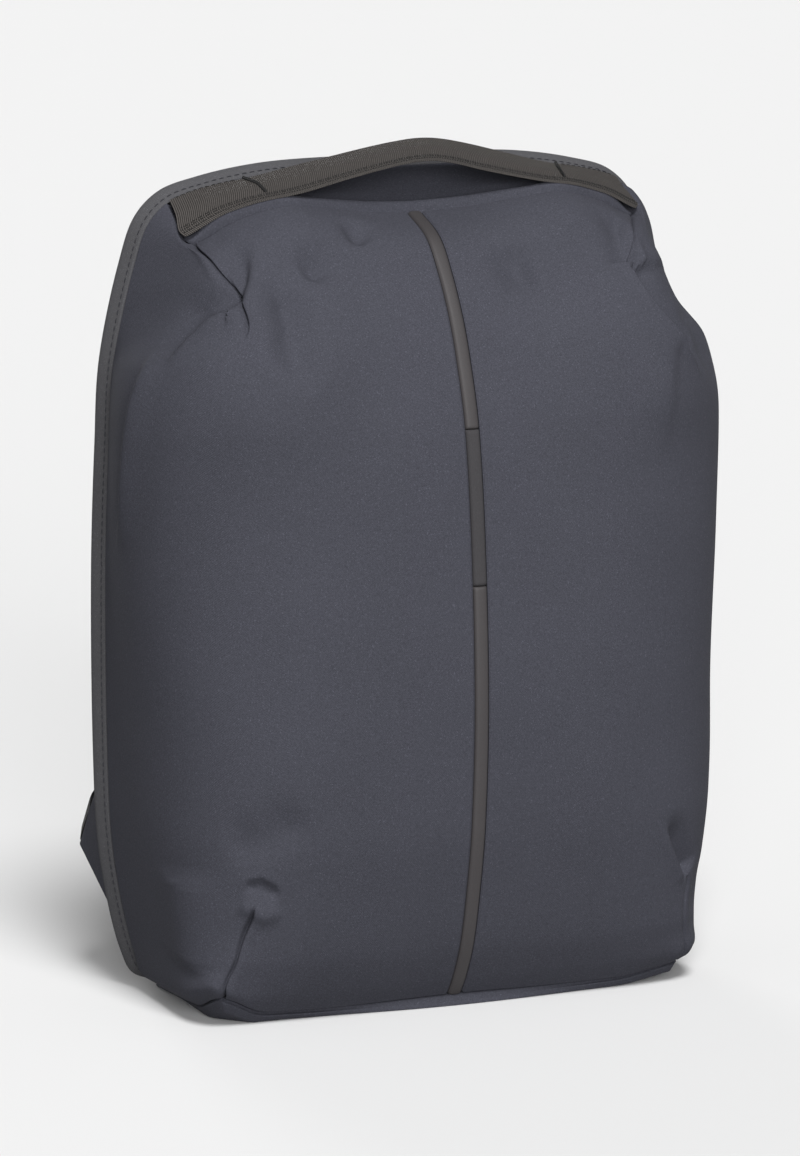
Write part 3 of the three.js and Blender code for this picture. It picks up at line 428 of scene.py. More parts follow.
# %% Mesh helpers
def spread(count, marks, gain=8.0, reach=0.015):
    """Shares from 0 to 1, closer together near the marks: the density is 1 plus gain times an
    exponential that falls off from each mark, and its running total is turned round."""
    x = np.linspace(0, 1, 4001)
    density = 1 + gain * sum(np.exp(-np.abs(x - m) / reach) for m in marks)
    total = np.concatenate([[0], np.cumsum((density[1:] + density[:-1]) / 2)])
    return np.interp(np.linspace(0, 1, count), total / total[-1], x)


def cloth_places(grid):
    """Where each grid point lies in the flat cloth, in metres: the running lengths along the
    rows and along the columns."""
    return np.stack([running(grid, 1), running(grid, 0)], -1) / 1000


def new_mesh(name, points, faces, uv, material, sharp=55):
    """A finished piece: points in millimetres become metres, faces look outwards, and the piece
    rides on the bag's one body."""
    points = np.asarray(points, float).reshape(-1, 3) / 1000
    faces = np.asarray(faces, int)
    a, b, c = (points[faces[:, k]] for k in range(3))
    volume = np.einsum("ij,ij->i", a, np.cross(b, c)).sum()
    if faces.shape[1] == 4:
        d = points[faces[:, 3]]
        volume += np.einsum("ij,ij->i", a, np.cross(c, d)).sum()
    if volume < 0:
        faces = faces[:, ::-1]
    mesh = bpy.data.meshes.new(name)
    mesh.from_pydata(points.tolist(), [], faces.tolist())
    layer = mesh.uv_layers.new(name="cloth")
    layer.data.foreach_set("uv", np.asarray(uv, float).reshape(-1, 2)[faces.ravel()].ravel())
    mesh.polygons.foreach_set("use_smooth", np.ones(len(faces), bool))
    mesh.set_sharp_from_angle(angle=math.radians(sharp))
    mesh.materials.append(material)
    piece = bpy.data.objects.new(name, mesh)
    bpy.context.scene.collection.objects.link(piece)
    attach(piece, "root")
    return piece


def wall_faces(rows, columns):
    """The quads of an outer grid, an inner grid and the rim between them."""
    at = np.arange(rows * columns).reshape(rows, columns)
    quads = np.stack([at[:-1, :-1], at[:-1, 1:], at[1:, 1:], at[1:, :-1]], -1).reshape(-1, 4)
    rim = np.concatenate([at[0, :-1], at[:-1, -1], at[-1, :0:-1], at[:0:-1, 0]])
    after = np.roll(rim, -1)
    half = rows * columns
    band = np.stack([after, rim, rim + half, after + half], -1)
    return np.vstack([quads, quads[:, ::-1] + half, band])


def wall(name, outer, inner, material):
    """A closed wall between two grids of the same size."""
    rows, columns = outer.shape[:2]
    places = cloth_places(outer).reshape(-1, 2)
    points = np.concatenate([outer.reshape(-1, 3), inner.reshape(-1, 3)])
    return new_mesh(name, points, wall_faces(rows, columns), np.vstack([places, places]),
                    material)


def sheet_wall(name, outer, thickness, material):
    """A cloth sheet: the inside lies one wall further in."""
    return wall(name, outer, outer + inward(outer) * thickness, material)

# %% [markdown]
# ## Weaves
# Up close the shell is a fine, matt, plain weave in which single threads catch the light; these
# glints are painted into the colour as bright specks. A weave is two sine waves, one for each set
# of threads, multiplied: where they pass over each other the surface rises. It moves the normals,
# and it paints shade into the colour a little, darker where the threads sink. Finer noise gives
# the mottled look of the yarn, and broad noise keeps large areas from looking printed.

# %% Node helpers
NODE_SETTINGS = ("operation", "noise_dimensions", "feature")


class Finish:
    """A new material with its main shader, and short ways to add and join nodes."""

    def __init__(self, name):
        self.material = bpy.data.materials.new(name)
        self.material.use_nodes = True
        self.tree = self.material.node_tree
        self.shader = self.tree.nodes["Principled BSDF"]
        self.place = self.add("ShaderNodeTexCoord")

    def add(self, kind, **settings):
        """A node whose settings, or else whose inputs, have the values given."""
        node = self.tree.nodes.new(kind)
        for key, value in settings.items():
            if key in NODE_SETTINGS:
                setattr(node, key, value)
            else:
                node.inputs[key.title()].default_value = value
        return node

    def join(self, source, target):
        self.tree.links.new(source, target)

    def maths(self, operation, *values):
        """One sum. A value is a number or another node's output."""
        node = self.add("ShaderNodeMath", operation=operation)
        for socket, value in zip(node.inputs, values):
            if isinstance(value, (int, float)):
                socket.default_value = value
            else:
                self.join(value, socket)
        return node.outputs[0]

    def weave_places(self):
        """The two running lengths of the cloth, in metres."""
        parts = self.add("ShaderNodeSeparateXYZ")
        self.join(self.place.outputs["UV"], parts.inputs[0])
        return parts.outputs["X"], parts.outputs["Y"]

    def noise(self, scale, detail):
        """Noise fixed to the piece itself, scale to the metre."""
        node = self.add("ShaderNodeTexNoise", noise_dimensions="3D", scale=scale, detail=detail)
        self.join(self.place.outputs["Object"], node.inputs["Vector"])
        return node.outputs["Fac"]

    def paint(self, colour, shade):
        """One colour, lighter and darker by the shade, which is about 1."""
        tint = self.add("ShaderNodeVectorMath", operation="SCALE")
        tint.inputs[0].default_value = colour
        self.join(shade, tint.inputs["Scale"])
        self.join(tint.outputs[0], self.shader.inputs["Base Color"])

    def emboss(self, height, strength, distance):
        """A height that tilts the normals."""
        bump = self.add("ShaderNodeBump", strength=strength, distance=distance)
        self.join(height, bump.inputs["Height"])
        self.join(bump.outputs[0], self.shader.inputs["Normal"])

    def surface(self, roughness, specular, sheen=0.0):
        """The values that are the same all over a finish, set on the shader itself."""
        self.shader.inputs["Roughness"].default_value = roughness
        self.shader.inputs["Specular IOR Level"].default_value = specular
        self.shader.inputs["Sheen Weight"].default_value = sheen
        self.shader.inputs["Metallic"].default_value = 0.0


# %% The woven finish
TURN_PER_METRE = 2 * math.pi * 1000
YARN_NOISE, BROAD_NOISE, GLINT_NOISE = (1250.0, 2.0), (16.0, 4.0), (1500.0, 0.0)
GLINT_ABOVE, CLOUDY, WEAVE_IN_RIBS, YARN_RELIEF, WEAVE_DEPTH = 0.74, 0.2, 0.2, 1.6, 0.0004


def woven(name, colour, pitch=0.9, relief=0.25, painted_shade=0.10, mottle=0.16, painted_glint=0.5,
          roughness=0.88, ribs=None, specular=0.22):
    """pitch is the distance between threads in millimetres. relief is how far the weave moves the
    normals, painted_shade how much shade the height of the weave and ribs paints into the colour,
    mottle how uneven the yarn is, and painted_glint how bright the painted glints of single threads
    are. ribs = (pitch, strength) adds ribs across the cloth's length."""
    finish = Finish(name)
    maths = finish.maths
    finish.surface(roughness, specular)
    x, y = finish.weave_places()
    warp, weft = (maths("SINE", maths("MULTIPLY", v, TURN_PER_METRE / pitch)) for v in (x, y))
    height = maths("MULTIPLY", warp, weft)
    if ribs:
        rib = maths("SINE", maths("MULTIPLY", y, TURN_PER_METRE / ribs[0]))
        height = maths("ADD", maths("MULTIPLY", height, WEAVE_IN_RIBS),
                       maths("MULTIPLY", rib, ribs[1]))
    yarn, broad, glint_places = (finish.noise(*n) for n in (YARN_NOISE, BROAD_NOISE, GLINT_NOISE))
    # Painted glints: bright specks painted into the colour where single threads would catch the
    # light.
    glint_colour = maths("MULTIPLY", maths("GREATER_THAN", glint_places, GLINT_ABOVE), painted_glint)
    uneven = maths("MULTIPLY", maths("SUBTRACT", yarn, 0.5), 4 * mottle)
    # Painted shade: the height of the weave and ribs darkens the colour where threads sink and
    # lightens it where they rise.
    shade = maths("ADD", maths("MULTIPLY", height, painted_shade), uneven)
    cloudy = maths("MULTIPLY", maths("SUBTRACT", broad, 0.5), CLOUDY)
    shade = maths("ADD", maths("ADD", maths("ADD", shade, cloudy), glint_colour), 1.0)
    finish.paint(colour, shade)
    finish.emboss(maths("ADD", height, maths("MULTIPLY", yarn, YARN_RELIEF)), relief, WEAVE_DEPTH)
    return finish.material


SHELL_CLOTH = woven("shell_cloth", (0.0490, 0.0500, 0.0635), mottle=0.22)
BAND_CLOTH_LOOK = woven("band_cloth", (0.0740, 0.0735, 0.0790), pitch=1.0)
print("shell cloth and band cloth ready")

# %% [markdown]
# ## The two halves of the shell
# Now the shell itself. The grid is finest at the strip, at the darts and at the band, where cloth
# curls over within a millimetre, and coarser over the broad soft areas.

# %% Shell halves
COLUMNS = spread(158, (0, 0.5, 1))
ROWS = spread(236, (0, 1), 6.0, 0.01)


def make_shell(side, name, node):
    """One half: the finished outside, and an inside one cloth further in."""
    outer = shell(side, COLUMNS, ROWS)
    piece = sheet_wall(name, outer, CLOTH, SHELL_CLOTH)
    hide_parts(node)
    print(name, "faces", len(piece.data.polygons))


make_shell(-1, "shell_half_left", "front_panel_left")
make_shell(1, "shell_half_right", "front_panel_right")

# %% [markdown]
# ## The centre strip and its label
# A narrow reflective tape runs down the middle of the front, between the two halves, and a bare
# woven label takes its place for eighty millimetres. A flat ribbon would look printed on, so its
# edges are turned down and its middle is a little crowned.

# %% Strip and label
REFLECTIVE = woven("reflective_tape", (0.0470, 0.0430, 0.0445), pitch=0.7, relief=0.10,
                   painted_shade=0.04, mottle=0.05, painted_glint=0.1, roughness=0.55, specular=0.28)
LABEL_CLOTH = woven("label_weave", (0.0440, 0.0420, 0.0450), pitch=0.6, relief=0.3, painted_shade=0.10,
                    mottle=0.08, painted_glint=0.1, roughness=0.75)
STRIP_COLUMNS = np.array([-1, -0.94, -0.84, -0.6, -0.3, 0, 0.3, 0.6, 0.84, 0.94, 1])[None, :]
STRIP_CROWN, STRIP_CLOTH, FRONT_RUN = 0.35, CLOTH * 0.9, 435.0
SIDE_CURL, END_CURL = (0.9, 0.5), (0.9, 0.6)


def along_at(height):
    """The share of the way up at which the middle of the front reaches a height."""
    along = np.linspace(0, 1, 2001)
    return float(np.interp(height, read(SECTIONS, along, "up") * BODY_HEIGHT, along))


def make_strip(name, node, start, end, steps, material, proud):
    """Rows up the middle line, columns across it. The height over the plain line is crowned by
    a cosine, and falls by a millimetre at both edges and both ends."""
    along = np.linspace(start, end, steps)[:, None]
    middle = plain_shell(np.zeros_like(along), along)
    grid = np.repeat(middle, STRIP_COLUMNS.shape[1], axis=1)
    grid[..., 0] = STRIP_COLUMNS * STRIP_WIDTH / 2
    from_side = (1 - np.abs(STRIP_COLUMNS)) * STRIP_WIDTH / 2
    from_end = np.minimum(along - start, end - along) * FRONT_RUN
    crown = STRIP_CROWN * np.cos(STRIP_COLUMNS * np.pi / 2)
    out = proud + crown - curl(from_side, *SIDE_CURL) - curl(from_end, *END_CURL)
    grid = grid - inward(grid) * out[..., None]
    piece = sheet_wall(name, grid, STRIP_CLOTH, material)
    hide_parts(node)


GAP, STRIP_END = SEAM_GAP / BODY_HEIGHT, 0.0005
TAPE_PROUD, LABEL_PROUD = 0.1, 0.25
LABEL_FROM, LABEL_TO = along_at(LABEL_BOTTOM), along_at(LABEL_TOP)
make_strip("tape_lower", "reflective_strip_lower", STRIP_END, LABEL_FROM - GAP, 260, REFLECTIVE,
           TAPE_PROUD)
make_strip("tape_label", "strip_label", LABEL_FROM, LABEL_TO, 90, LABEL_CLOTH,
           LABEL_PROUD)
make_strip("tape_upper", "reflective_strip_upper", LABEL_TO + GAP, 1 - STRIP_END, 200,
           REFLECTIVE, TAPE_PROUD)
print("label from", round(LABEL_FROM, 3), "to", round(LABEL_TO, 3))

# %% [markdown]
# ## A patch between four seams
# The top and the bottom are filled in between the seams around them. A Coons patch does that: it
# blends each pair of opposite edges and takes away what the corners would count twice.

# %% The patch and the seams
def patch(front, back, left, right):
    """A surface between four edges: front and back run with u, left and right with v. It is the
    sum of the two blends between opposite edges, less the blend between the corners."""
    zero, one = np.array(0.0), np.array(1.0)
    a, b, c, d = front(zero), front(one), back(zero), back(one)

    def surface(u, v):
        u, v = np.broadcast_arrays(u, v)
        x, y = u[..., None], v[..., None]
        return (front(u) * (1 - y) + back(u) * y + left(v) * (1 - x) + right(v) * x
                - a * (1 - x) * (1 - y) - b * x * (1 - y) - c * (1 - x) * y - d * x * y)
    return surface


STRIP_BRIDGE = 20


def front_seam(along):
    """The shell's edge across the front, from the left dart, u = 0, to the right one, u = 1. Near
    the middle it closes the gap that the strip fills."""
    def edge(u):
        out = np.abs(2 * u - 1)
        row = np.full_like(out, along)
        turn = turn_of(out * 0.5, row)
        p = np.where((u < 0.5)[..., None], plain_shell(turn, row, -1), plain_shell(turn, row, 1))
        p[..., 0] *= np.where(u < 0.5, -1, 1) * np.minimum(out * STRIP_BRIDGE, 1)
        return p
    return edge


def side_seam(side, along):
    """The shell's edge from the dart back to the band."""
    def edge(v):
        row = np.full_like(v, along)
        return plain_shell(turn_of(0.5 + v / 2, row), row, side) * np.array([side, 1, 1])
    return edge


def top_back(u):
    """The band's inner edge over the top, from the left corner to the right one."""
    x, z = outline_point(1 - (1 - CORNER_HIGH) * np.abs(2 * u - 1), BAND_FLARE)
    return np.stack([x * np.sign(u - 0.5), np.full_like(x, SEAM_Y), z], -1)


top_surface = patch(front_seam(1.0), top_back, side_seam(-1, 1.0), side_seam(1, 1.0))
print("top seam, highest at mm:", round(float(top_surface(np.array(0.5), np.array(1.0))[2])))

# %% [markdown]
# ## The top panel
# The panel lies under the handle and slopes up to the back. Its front edge is rolled over the
# seam like a soft pipe, and it sags a little between the handle's sewn ends.

# %% Top panel
TOP_CLEAR, TOP_ACROSS = 0.8, 250.0
ROLL_HEIGHT, ROLL_AT, ROLL_WIDTH, ROLL_FADE = 4.4, 2.4, 2.2, (1, 16)
SAG, SAG_HALF = 1.2, 46
TOP_FRONT_CURL, TOP_REAR_CURL, TOP_SIDE_CURL = (2.4, 0.6), (1.2, 1.0), (0.9, 0.8)


def make_top_panel():
    """Rows from the front seam, v = 0, to the band, v = 1. The roll is a bell curve a little
    behind the seam, the sag a bell curve across times half a sine along, and all four edges are
    turned in."""
    v, u = np.meshgrid(spread(74, (0, 1), 14, 0.03), spread(220, (0, 1), 8, 0.012), indexing="ij")
    inset = TOP_CLEAR / TOP_ACROSS
    grid = top_surface(inset + u * (1 - 2 * inset), v)
    depth = np.linalg.norm(top_surface(u[0], u[0] * 0 + 1) - top_surface(u[0], u[0] * 0), axis=-1)
    front, rear = v * depth[None, :], (1 - v) * depth[None, :]
    sides = np.minimum(u, 1 - u) * TOP_ACROSS
    grid[..., 1] += TOP_CLEAR * (1 - 2 * v)
    roll = ROLL_HEIGHT * bell(front - ROLL_AT, ROLL_WIDTH) * ease(sides, *ROLL_FADE)
    sag = SAG * bell(grid[..., 0], SAG_HALF) * np.sin(np.pi * v)
    turned = curl(front, *TOP_FRONT_CURL) + curl(rear, *TOP_REAR_CURL) + curl(sides, *TOP_SIDE_CURL)
    grid = grid - inward(grid) * (roll - sag - turned)[..., None]
    piece = sheet_wall("top_cloth", grid, CLOTH, SHELL_CLOTH)
    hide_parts("top_panel")
    print("top panel, mm:", [round(1000 * d) for d in piece.dimensions])


make_top_panel()

# %% [markdown]
# ## The bottom panel
# The bag stands on this panel. Its front edge turns up to the shell's bottom seam, so from the
# front a narrow strip of it shows under the seam. It could be a flat plate, but then the seam
# would float above the floor.

# %% Bottom panel
BASE_CORNER, BASE_ACROSS = 0.795, 262.0
BASE_LIP, BASE_TURN, LIP_FADE = 7.0, 4.6, 9
BASE_EDGE_CURL = (2.6, 1.0)
CORNER_REACH, STRIP_LIFT, TURN_POWER, FLAT_FROM, FLOOR_CLEAR = 30, 0.6, 1.4, 0.75, 0.02


def make_bottom_panel():
    """Rows from the seam to the rear. The first rows follow a quarter round from the seam, out by
    the lip and down to the floor, and the rest lies flat on it. At the darts, where the seam runs
    higher, the cloth rises to it."""
    front = front_seam(0.0)
    half = BASE_CORNER * HALF_WIDTH - SEAM_GAP
    rear_y = BAND_REAR_Y - SEAM_GAP

    def rear(u):
        return np.stack([(2 * u - 1) * half, np.full_like(u, rear_y), np.zeros_like(u)], -1)

    def edge(side):
        def line(v):
            seam, settle = side_seam(side, 0.0)(v), (v**3)[..., None]
            corner = rear(np.full_like(v, 0.0 if side < 0 else 1.0))
            seam[..., 1] += BAND_WIDTH * settle[..., 0]
            seam[..., 2] *= 1 - settle[..., 0]
            return seam * (1 - settle) + corner * settle
        return line

    surface = patch(front, rear, edge(-1), edge(1))
    v, u = np.meshgrid(spread(60, (0,), 40, 0.03), spread(180, (0, 1), 14, 0.012), indexing="ij")
    across = SEAM_GAP / (2 * HALF_WIDTH)
    grid = surface(across + u * (1 - 2 * across), across + v * (1 - across))
    middle = float(front(np.array(0.5))[2])
    depth = v * np.linalg.norm(surface(u[0], u[0] * 0 + 1) - surface(u[0], u[0] * 0), axis=-1)
    from_edge = np.minimum(depth, np.minimum(u, 1 - u) * BASE_ACROSS)
    lift = np.clip(grid[..., 2] - middle, 0, None) * bell(from_edge, CORNER_REACH)
    strip = np.clip(np.minimum(grid[..., 2], middle) - STRIP_LIFT, 0, None)
    strip = strip * (1 - np.clip(from_edge / BASE_TURN, 0, 1) ** TURN_POWER)
    behind = 1 - ease(v, FLAT_FROM, 1)
    grid[..., 2] = np.clip(lift + strip * behind, FLOOR_CLEAR, None)
    middleness = (1 - (2 * u - 1) ** 2) ** 2
    lip = np.clip(depth / BASE_TURN, 0, 1) * bell(np.clip(depth - BASE_TURN, 0, None), LIP_FADE)
    grid[..., 1] += curl(depth, *BASE_EDGE_CURL) - BASE_LIP * middleness * lip
    piece = sheet_wall("base_cloth", grid, CLOTH, SHELL_CLOTH)
    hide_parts("bottom_panel")
    print("bottom panel, mm:", [round(1000 * d) for d in piece.dimensions])


make_bottom_panel()

# %% [markdown]
# ## The band over the zip
# The zip of this bag runs round the back, hidden under a doubled band. A profile, front edge to
# rear edge, is carried round the outline. Its rear edge is rolled, and behind it the band turns
# in to a flange for the back panel. Carrying a profile keeps the band's width the same all the
# way, as a sewn band's is.

# %% Band
BAND_CLOTH = 2.5
BAND_TUCK, TUCK_REACH = 3.2, 20
BACK_INSET, BACK_ROUND = 9.0, 4.0
BAND_FROM = CORNER_LOW + 2 * SEAM_GAP / outline[3]


def band_profile():
    """The band's section as a smooth curve through (depth, inset) points, and the same curve
    moved square to itself, inwards, by the cloth."""
    front, rear, flange = SEAM_Y + SEAM_GAP, BAND_REAR_Y, BACK_INSET + BACK_ROUND + BAND_CLOTH
    points = [(front, 5.3), (front + 0.5, 4.2), (front + 1.6, 3.5), (front + 3.4, 2.7),
              (front + 6.0, 1.35), (front + 8.6, 0.25), (rear - 1.4, 0.0), (rear - 0.35, 0.45),
              (rear, 1.5), (rear, 5.0), (rear, flange)]
    curve = smooth_curve(points, 24)
    place, way = on_curve(curve, spread(40, (0, 0.42), 5, 0.06))
    inner = place + np.stack([-way[:, 1], way[:, 0]], -1) * BAND_CLOTH
    inner[:, 0] = np.clip(inner[:, 0], front, rear - BAND_CLOTH)
    return place, inner


def band_tuck(shares):
    """How far the two low ends are tucked in, under the bag: a bell curve of the distance to the
    end."""
    return BAND_TUCK * bell((shares - BAND_FROM) * outline[3], TUCK_REACH)


def band_grid(profile, shares):
    """Carries the profile round: one row for each profile point, one column for each place."""
    x, z = outline_point(shares[None, :], profile[:, 1][:, None] + band_tuck(shares)[None, :])
    return np.stack([x, np.broadcast_to(profile[:, 0][:, None], x.shape), z], -1)


def mirrored(grid):
    """The left side of a grid, joined to the right one that ends in the middle."""
    left = grid[:, :-1] * np.array([-1, 1, 1])
    return np.concatenate([left, grid[:, ::-1]], axis=1)


band_outer, band_inner = band_profile()
BAND_SHARES = spread(340, (0.05, 0.62), 0, 0.1) * (1 - BAND_FROM) + BAND_FROM
band = wall("band_cloth", mirrored(band_grid(band_outer, BAND_SHARES)),
            mirrored(band_grid(band_inner, BAND_SHARES)), BAND_CLOTH_LOOK)
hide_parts("back_band")
print("band faces", len(band.data.polygons))

# %% [markdown]
# ## The back panel
# Behind, a padded board lies against the wearer's back. Nothing of it shows from the front, so it
# is finished plainly: two columns of soft pads with air channels between them, in a spacer mesh.
# The face is a patch between four stretches of the outline, and the pads are a height on it.

# %% The spacer mesh
CELLS_PER_METRE, CELL_ORDER, CELL_DEPTH = 430.0, 0.15, 0.0008


def spacer_mesh(name, colour):
    """An open knit: round cells in a grid, deep enough to look pierced. The middle of each cell is
    painted darker, as painted shade inside its hole.
    """
    finish = Finish(name)
    maths = finish.maths
    finish.surface(0.9, 0.3, sheen=0.15)
    cells = finish.add("ShaderNodeTexVoronoi", feature="F1", scale=CELLS_PER_METRE,
                       randomness=CELL_ORDER)
    finish.join(finish.place.outputs["Object"], cells.inputs["Vector"])
    uneven = maths("MULTIPLY", maths("SUBTRACT", finish.noise(1500.0, 2.0), 0.5), 0.5)
    # Painted shade: each cell is darker towards its middle, as the inside of a hole would be.
    shade = maths("ADD", 0.55, maths("MULTIPLY", cells.outputs["Distance"], 0.9))
    finish.paint(colour, maths("ADD", shade, uneven))
    finish.emboss(cells.outputs["Distance"], 0.5, CELL_DEPTH)
    return finish.material


PADDING = spacer_mesh("spacer_mesh", (0.030, 0.031, 0.040))
print("spacer mesh ready")

# %% Back panel
PAD_ACROSS, PAD_UP, PAD_CLEAR = 300.0, 418.0, 0.2
CHANNEL_DEPTH, MIDDLE_CHANNEL, CROSS_CHANNEL, CHANNEL_RISE = 2.4, 9, 5.5, 0.12
CHANNEL_LEVELS = (118, 214, 310)
BORDER_AT, BORDER_WIDTH, BORDER_DEPTH, BORDER_EASE = 17, 2.2, 1.6, (15, 19)
PAD_CROWN, PAD_FILL = 0.4, 0.9


def back_patch(inset):
    """The board's face as a flat patch (x, z) between four stretches of the outline."""
    def stretch(start, end):
        def line(t):
            x, z = outline_point(start + (end - start) * t, inset)
            return np.stack([x, np.zeros_like(x), z], -1)
        return line

    def both(corner, middle):
        half = stretch(middle, corner)

        def line(u):
            p = half(np.abs(2 * u - 1))
            return p * np.stack([np.sign(u - 0.5), np.ones_like(u), np.ones_like(u)], -1)
        return line

    side = stretch(CORNER_LOW, CORNER_HIGH)

    def mirror(v):
        return side(v) * np.array([-1, 1, 1])

    return patch(both(CORNER_LOW, 0.0), both(CORNER_HIGH, 1.0), mirror, side)


def make_back_panel():
    """The outer grid is the wearer's side. Near the rim it rounds down like a quarter circle. A
    channel between pads is a bell curve, and so is the stitched border inside the rim."""
    v, u = np.meshgrid(spread(190, (0, 1), 10, 0.008), spread(150, (0, 1), 10, 0.008),
                       indexing="ij")
    grid = back_patch(BACK_INSET + PAD_CLEAR)(u, v)
    x, z = grid[..., 0], grid[..., 2]
    rim = np.minimum(np.minimum(u, 1 - u) * PAD_ACROSS, np.minimum(v, 1 - v) * PAD_UP)
    from_round = 1 - np.clip(rim / BACK_ROUND, 0, 1)
    rounded = BACK_ROUND * (1 - np.sqrt(np.clip(1 - from_round**2, 0, 1)))
    channel = bell(x, MIDDLE_CHANNEL)
    for level in CHANNEL_LEVELS:
        across = bell(z - level - CHANNEL_RISE * np.abs(x), CROSS_CHANNEL)
        channel = np.maximum(channel, across)
    border = BORDER_DEPTH * bell(rim - BORDER_AT, BORDER_WIDTH)
    inside_border = ease(rim, *BORDER_EASE)
    sunk = CHANNEL_DEPTH * channel * inside_border + border
    crown = PAD_CROWN * (1 - channel) * inside_border
    outer, inner = grid.copy(), grid.copy()
    outer[..., 1] = BACK_Y - rounded - sunk - PAD_CROWN + crown
    inner[..., 1] = BAND_REAR_Y + SEAM_GAP + rounded * 0.8
    piece = wall("back_pad", outer, inner, PADDING)
    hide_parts("back_panel")
    print("back panel, mm:", [round(1000 * d) for d in piece.dimensions])


make_back_panel()

# %% [markdown]
# ## The handle
# The handle is a single length of ribbed webbing. Its two ends are sewn flat on the top panel and
# the free middle stands up as an arch. The rise of each edge is a column of a table, and the front
# edge peaks a little earlier than the rear one, so the webbing leans.

# %% Handle
HANDLE_SEWN_FROM, HANDLE_END_GAP, SEWN_GAP = 80.0, 1.4, 0.8
HANDLE_ARCH = table("share front back", [
    (0, 0, 0), (0.06, 1.3, 1.9), (0.12, 3.1, 4.2), (0.25, 8.2, 8.7), (0.38, 12.7, 13.1),
    (0.47, 15.2, 15.7), (0.55, 15.6, 17.2), (0.62, 13.6, 16.6), (0.71, 9.6, 13.4),
    (0.84, 4.6, 7.2), (0.93, 1.6, 2.8), (1, 0, 0),
])
WEBBING = woven("handle_webbing", (0.0790, 0.0720, 0.0680), pitch=0.7, relief=0.9, painted_shade=0.34,
                mottle=0.08, painted_glint=0.2, roughness=0.8, ribs=(1.08, 1.0))
SEWN_INSET, SEWN_RISE, SEWN_RISE_POWER = 1.6, 2.4, 1.6
EDGE_THIN, EDGE_SOFT = 0.35, (-0.3, 1.6)
HANDLE_COLUMNS = np.array([0, 0.015, 0.04, 0.08, 0.14, 0.22, 0.3, 0.4, 0.5, 0.6, 0.7, 0.78,
                           0.86, 0.92, 0.96, 0.985, 1])


def top_share_at(x):
    """The share across the top panel at which its front edge reaches a place across the bag."""
    u = np.linspace(0, 1, 6001)
    return float(np.interp(x, top_surface(u, u * 0)[:, 0], u))


def handle_shares(side):
    """Where the sewn end starts and stops, as shares across the top panel."""
    corner = float(top_surface(np.array((1.0 + side) / 2), np.array(0.0))[0])
    return top_share_at(side * HANDLE_SEWN_FROM), top_share_at(corner - side * HANDLE_END_GAP)


SEWN_SHARES = {side: handle_shares(side) for side in (-1, 1)}


def handle_under(t, k):
    """The underside. t runs over the length: the left end is sewn from -1 to 0, the arch is free
    from 0 to 1, and the right end is sewn from 1 to 2. k runs across, 0 to 1. A sewn place lies on
    the top surface and on the roll at its front, and the arch is the straight line between the
    tacks plus the table's rise."""
    t, k = np.broadcast_arrays(t, k)

    def sewn(side, f):
        tack, end = SEWN_SHARES[side]
        share = tack + (end - tack) * np.clip(f, 0, 1)
        front, back = top_surface(share, share * 0), top_surface(share, share * 0 + 1)
        depth = np.linalg.norm(back - front, axis=-1)
        p = top_surface(share, (SEWN_INSET + k * WEBBING_WIDTH) / depth)
        return p - inward(p) * (SEWN_GAP + SEWN_RISE * (1 - k) ** SEWN_RISE_POWER)[..., None]

    left, right = sewn(-1, -t), sewn(1, t - 1)
    f = np.clip(t, 0, 1)
    p = left * (1 - f)[..., None] + right * f[..., None]
    p[..., 2] += read(HANDLE_ARCH, f, "front") * (1 - k) + read(HANDLE_ARCH, f, "back") * k
    return p


def webbing_thick(k):
    """The webbing is thinner near its woven edges."""
    edge = np.minimum(k, 1 - k) * WEBBING_WIDTH
    return WEBBING_THICKNESS * (EDGE_THIN + (1 - EDGE_THIN) * ease(edge, *EDGE_SOFT))


def make_handle():
    """The upper side lies one webbing thickness out, and the underside is lifted a little near
    both woven edges."""
    t = np.concatenate([np.linspace(-1, 0, 90), np.linspace(0, 1, 400)[1:-1],
                        np.linspace(1, 2, 90)])
    k, t = np.meshgrid(HANDLE_COLUMNS, t, indexing="xy")
    under = handle_under(t, k)
    edge = np.minimum(k, 1 - k) * WEBBING_WIDTH
    above = under - inward(under) * webbing_thick(k)[..., None]
    lifted = under - inward(under) * (0.3 * (1 - ease(edge, 0, 1.4)))[..., None]
    piece = wall("handle_strap", above, lifted, WEBBING)
    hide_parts("handle")
    print("handle, mm:", [round(1000 * d) for d in piece.dimensions])


make_handle()

# %% [markdown]
# ## Shoulder straps, webbing, buckles and tabs
# None of these shows in the photograph except one tab, so they are what such a bag has: padded
# straps that bow away from the back, a narrow webbing below each, a ladder buckle between them and
# a cloth tab that sews the webbing into the side.

# %% Straps and their route
BLACK_WEBBING = woven("black_webbing", (0.012, 0.012, 0.013), pitch=0.9, relief=0.5,
                      painted_shade=0.16, painted_glint=0.05, roughness=0.75, ribs=(1.6, 0.7))
STRAP_WIDTH, STRAP_THICKNESS, STRAP_BOW, STRAP_LENGTH = 62.0, 11.0, 42.0, 245.0
STRAP_TOP, STRAP_LOW = (46.0, 404.0), (88.0, 172.0)
STRAP_ROUTE = table("down bow spread", [
    (0, 0, 0), (0.1, 0.06, 0.03), (0.3, 0.55, 0.25), (0.52, 0.95, 0.6), (0.76, 1, 0.88),
    (1, 0.8, 1),
])
SECTION_WIDE, SECTION_THICK = 0.7, 0.62
BINDING_AT, BINDING_WIDTH, BINDING_SINK = 6.5, 1.4, 0.35
STRAP_END, END_THIN, TAPER_FROM, TAPER_BY, STRAP_FILL = 9, 0.55, 0.72, 0.36, 0.8


def strap_route(side):
    """The strap's middle line, through the rows of the route."""
    close = BACK_Y + STRAP_THICKNESS / 2 + SEAM_GAP
    x = STRAP_TOP[0] + (STRAP_LOW[0] - STRAP_TOP[0]) * STRAP_ROUTE["spread"]
    z = STRAP_TOP[1] + (STRAP_LOW[1] - STRAP_TOP[1]) * STRAP_ROUTE["down"]
    return smooth_curve(np.stack([side * x, close + STRAP_BOW * STRAP_ROUTE["bow"], z], 1))


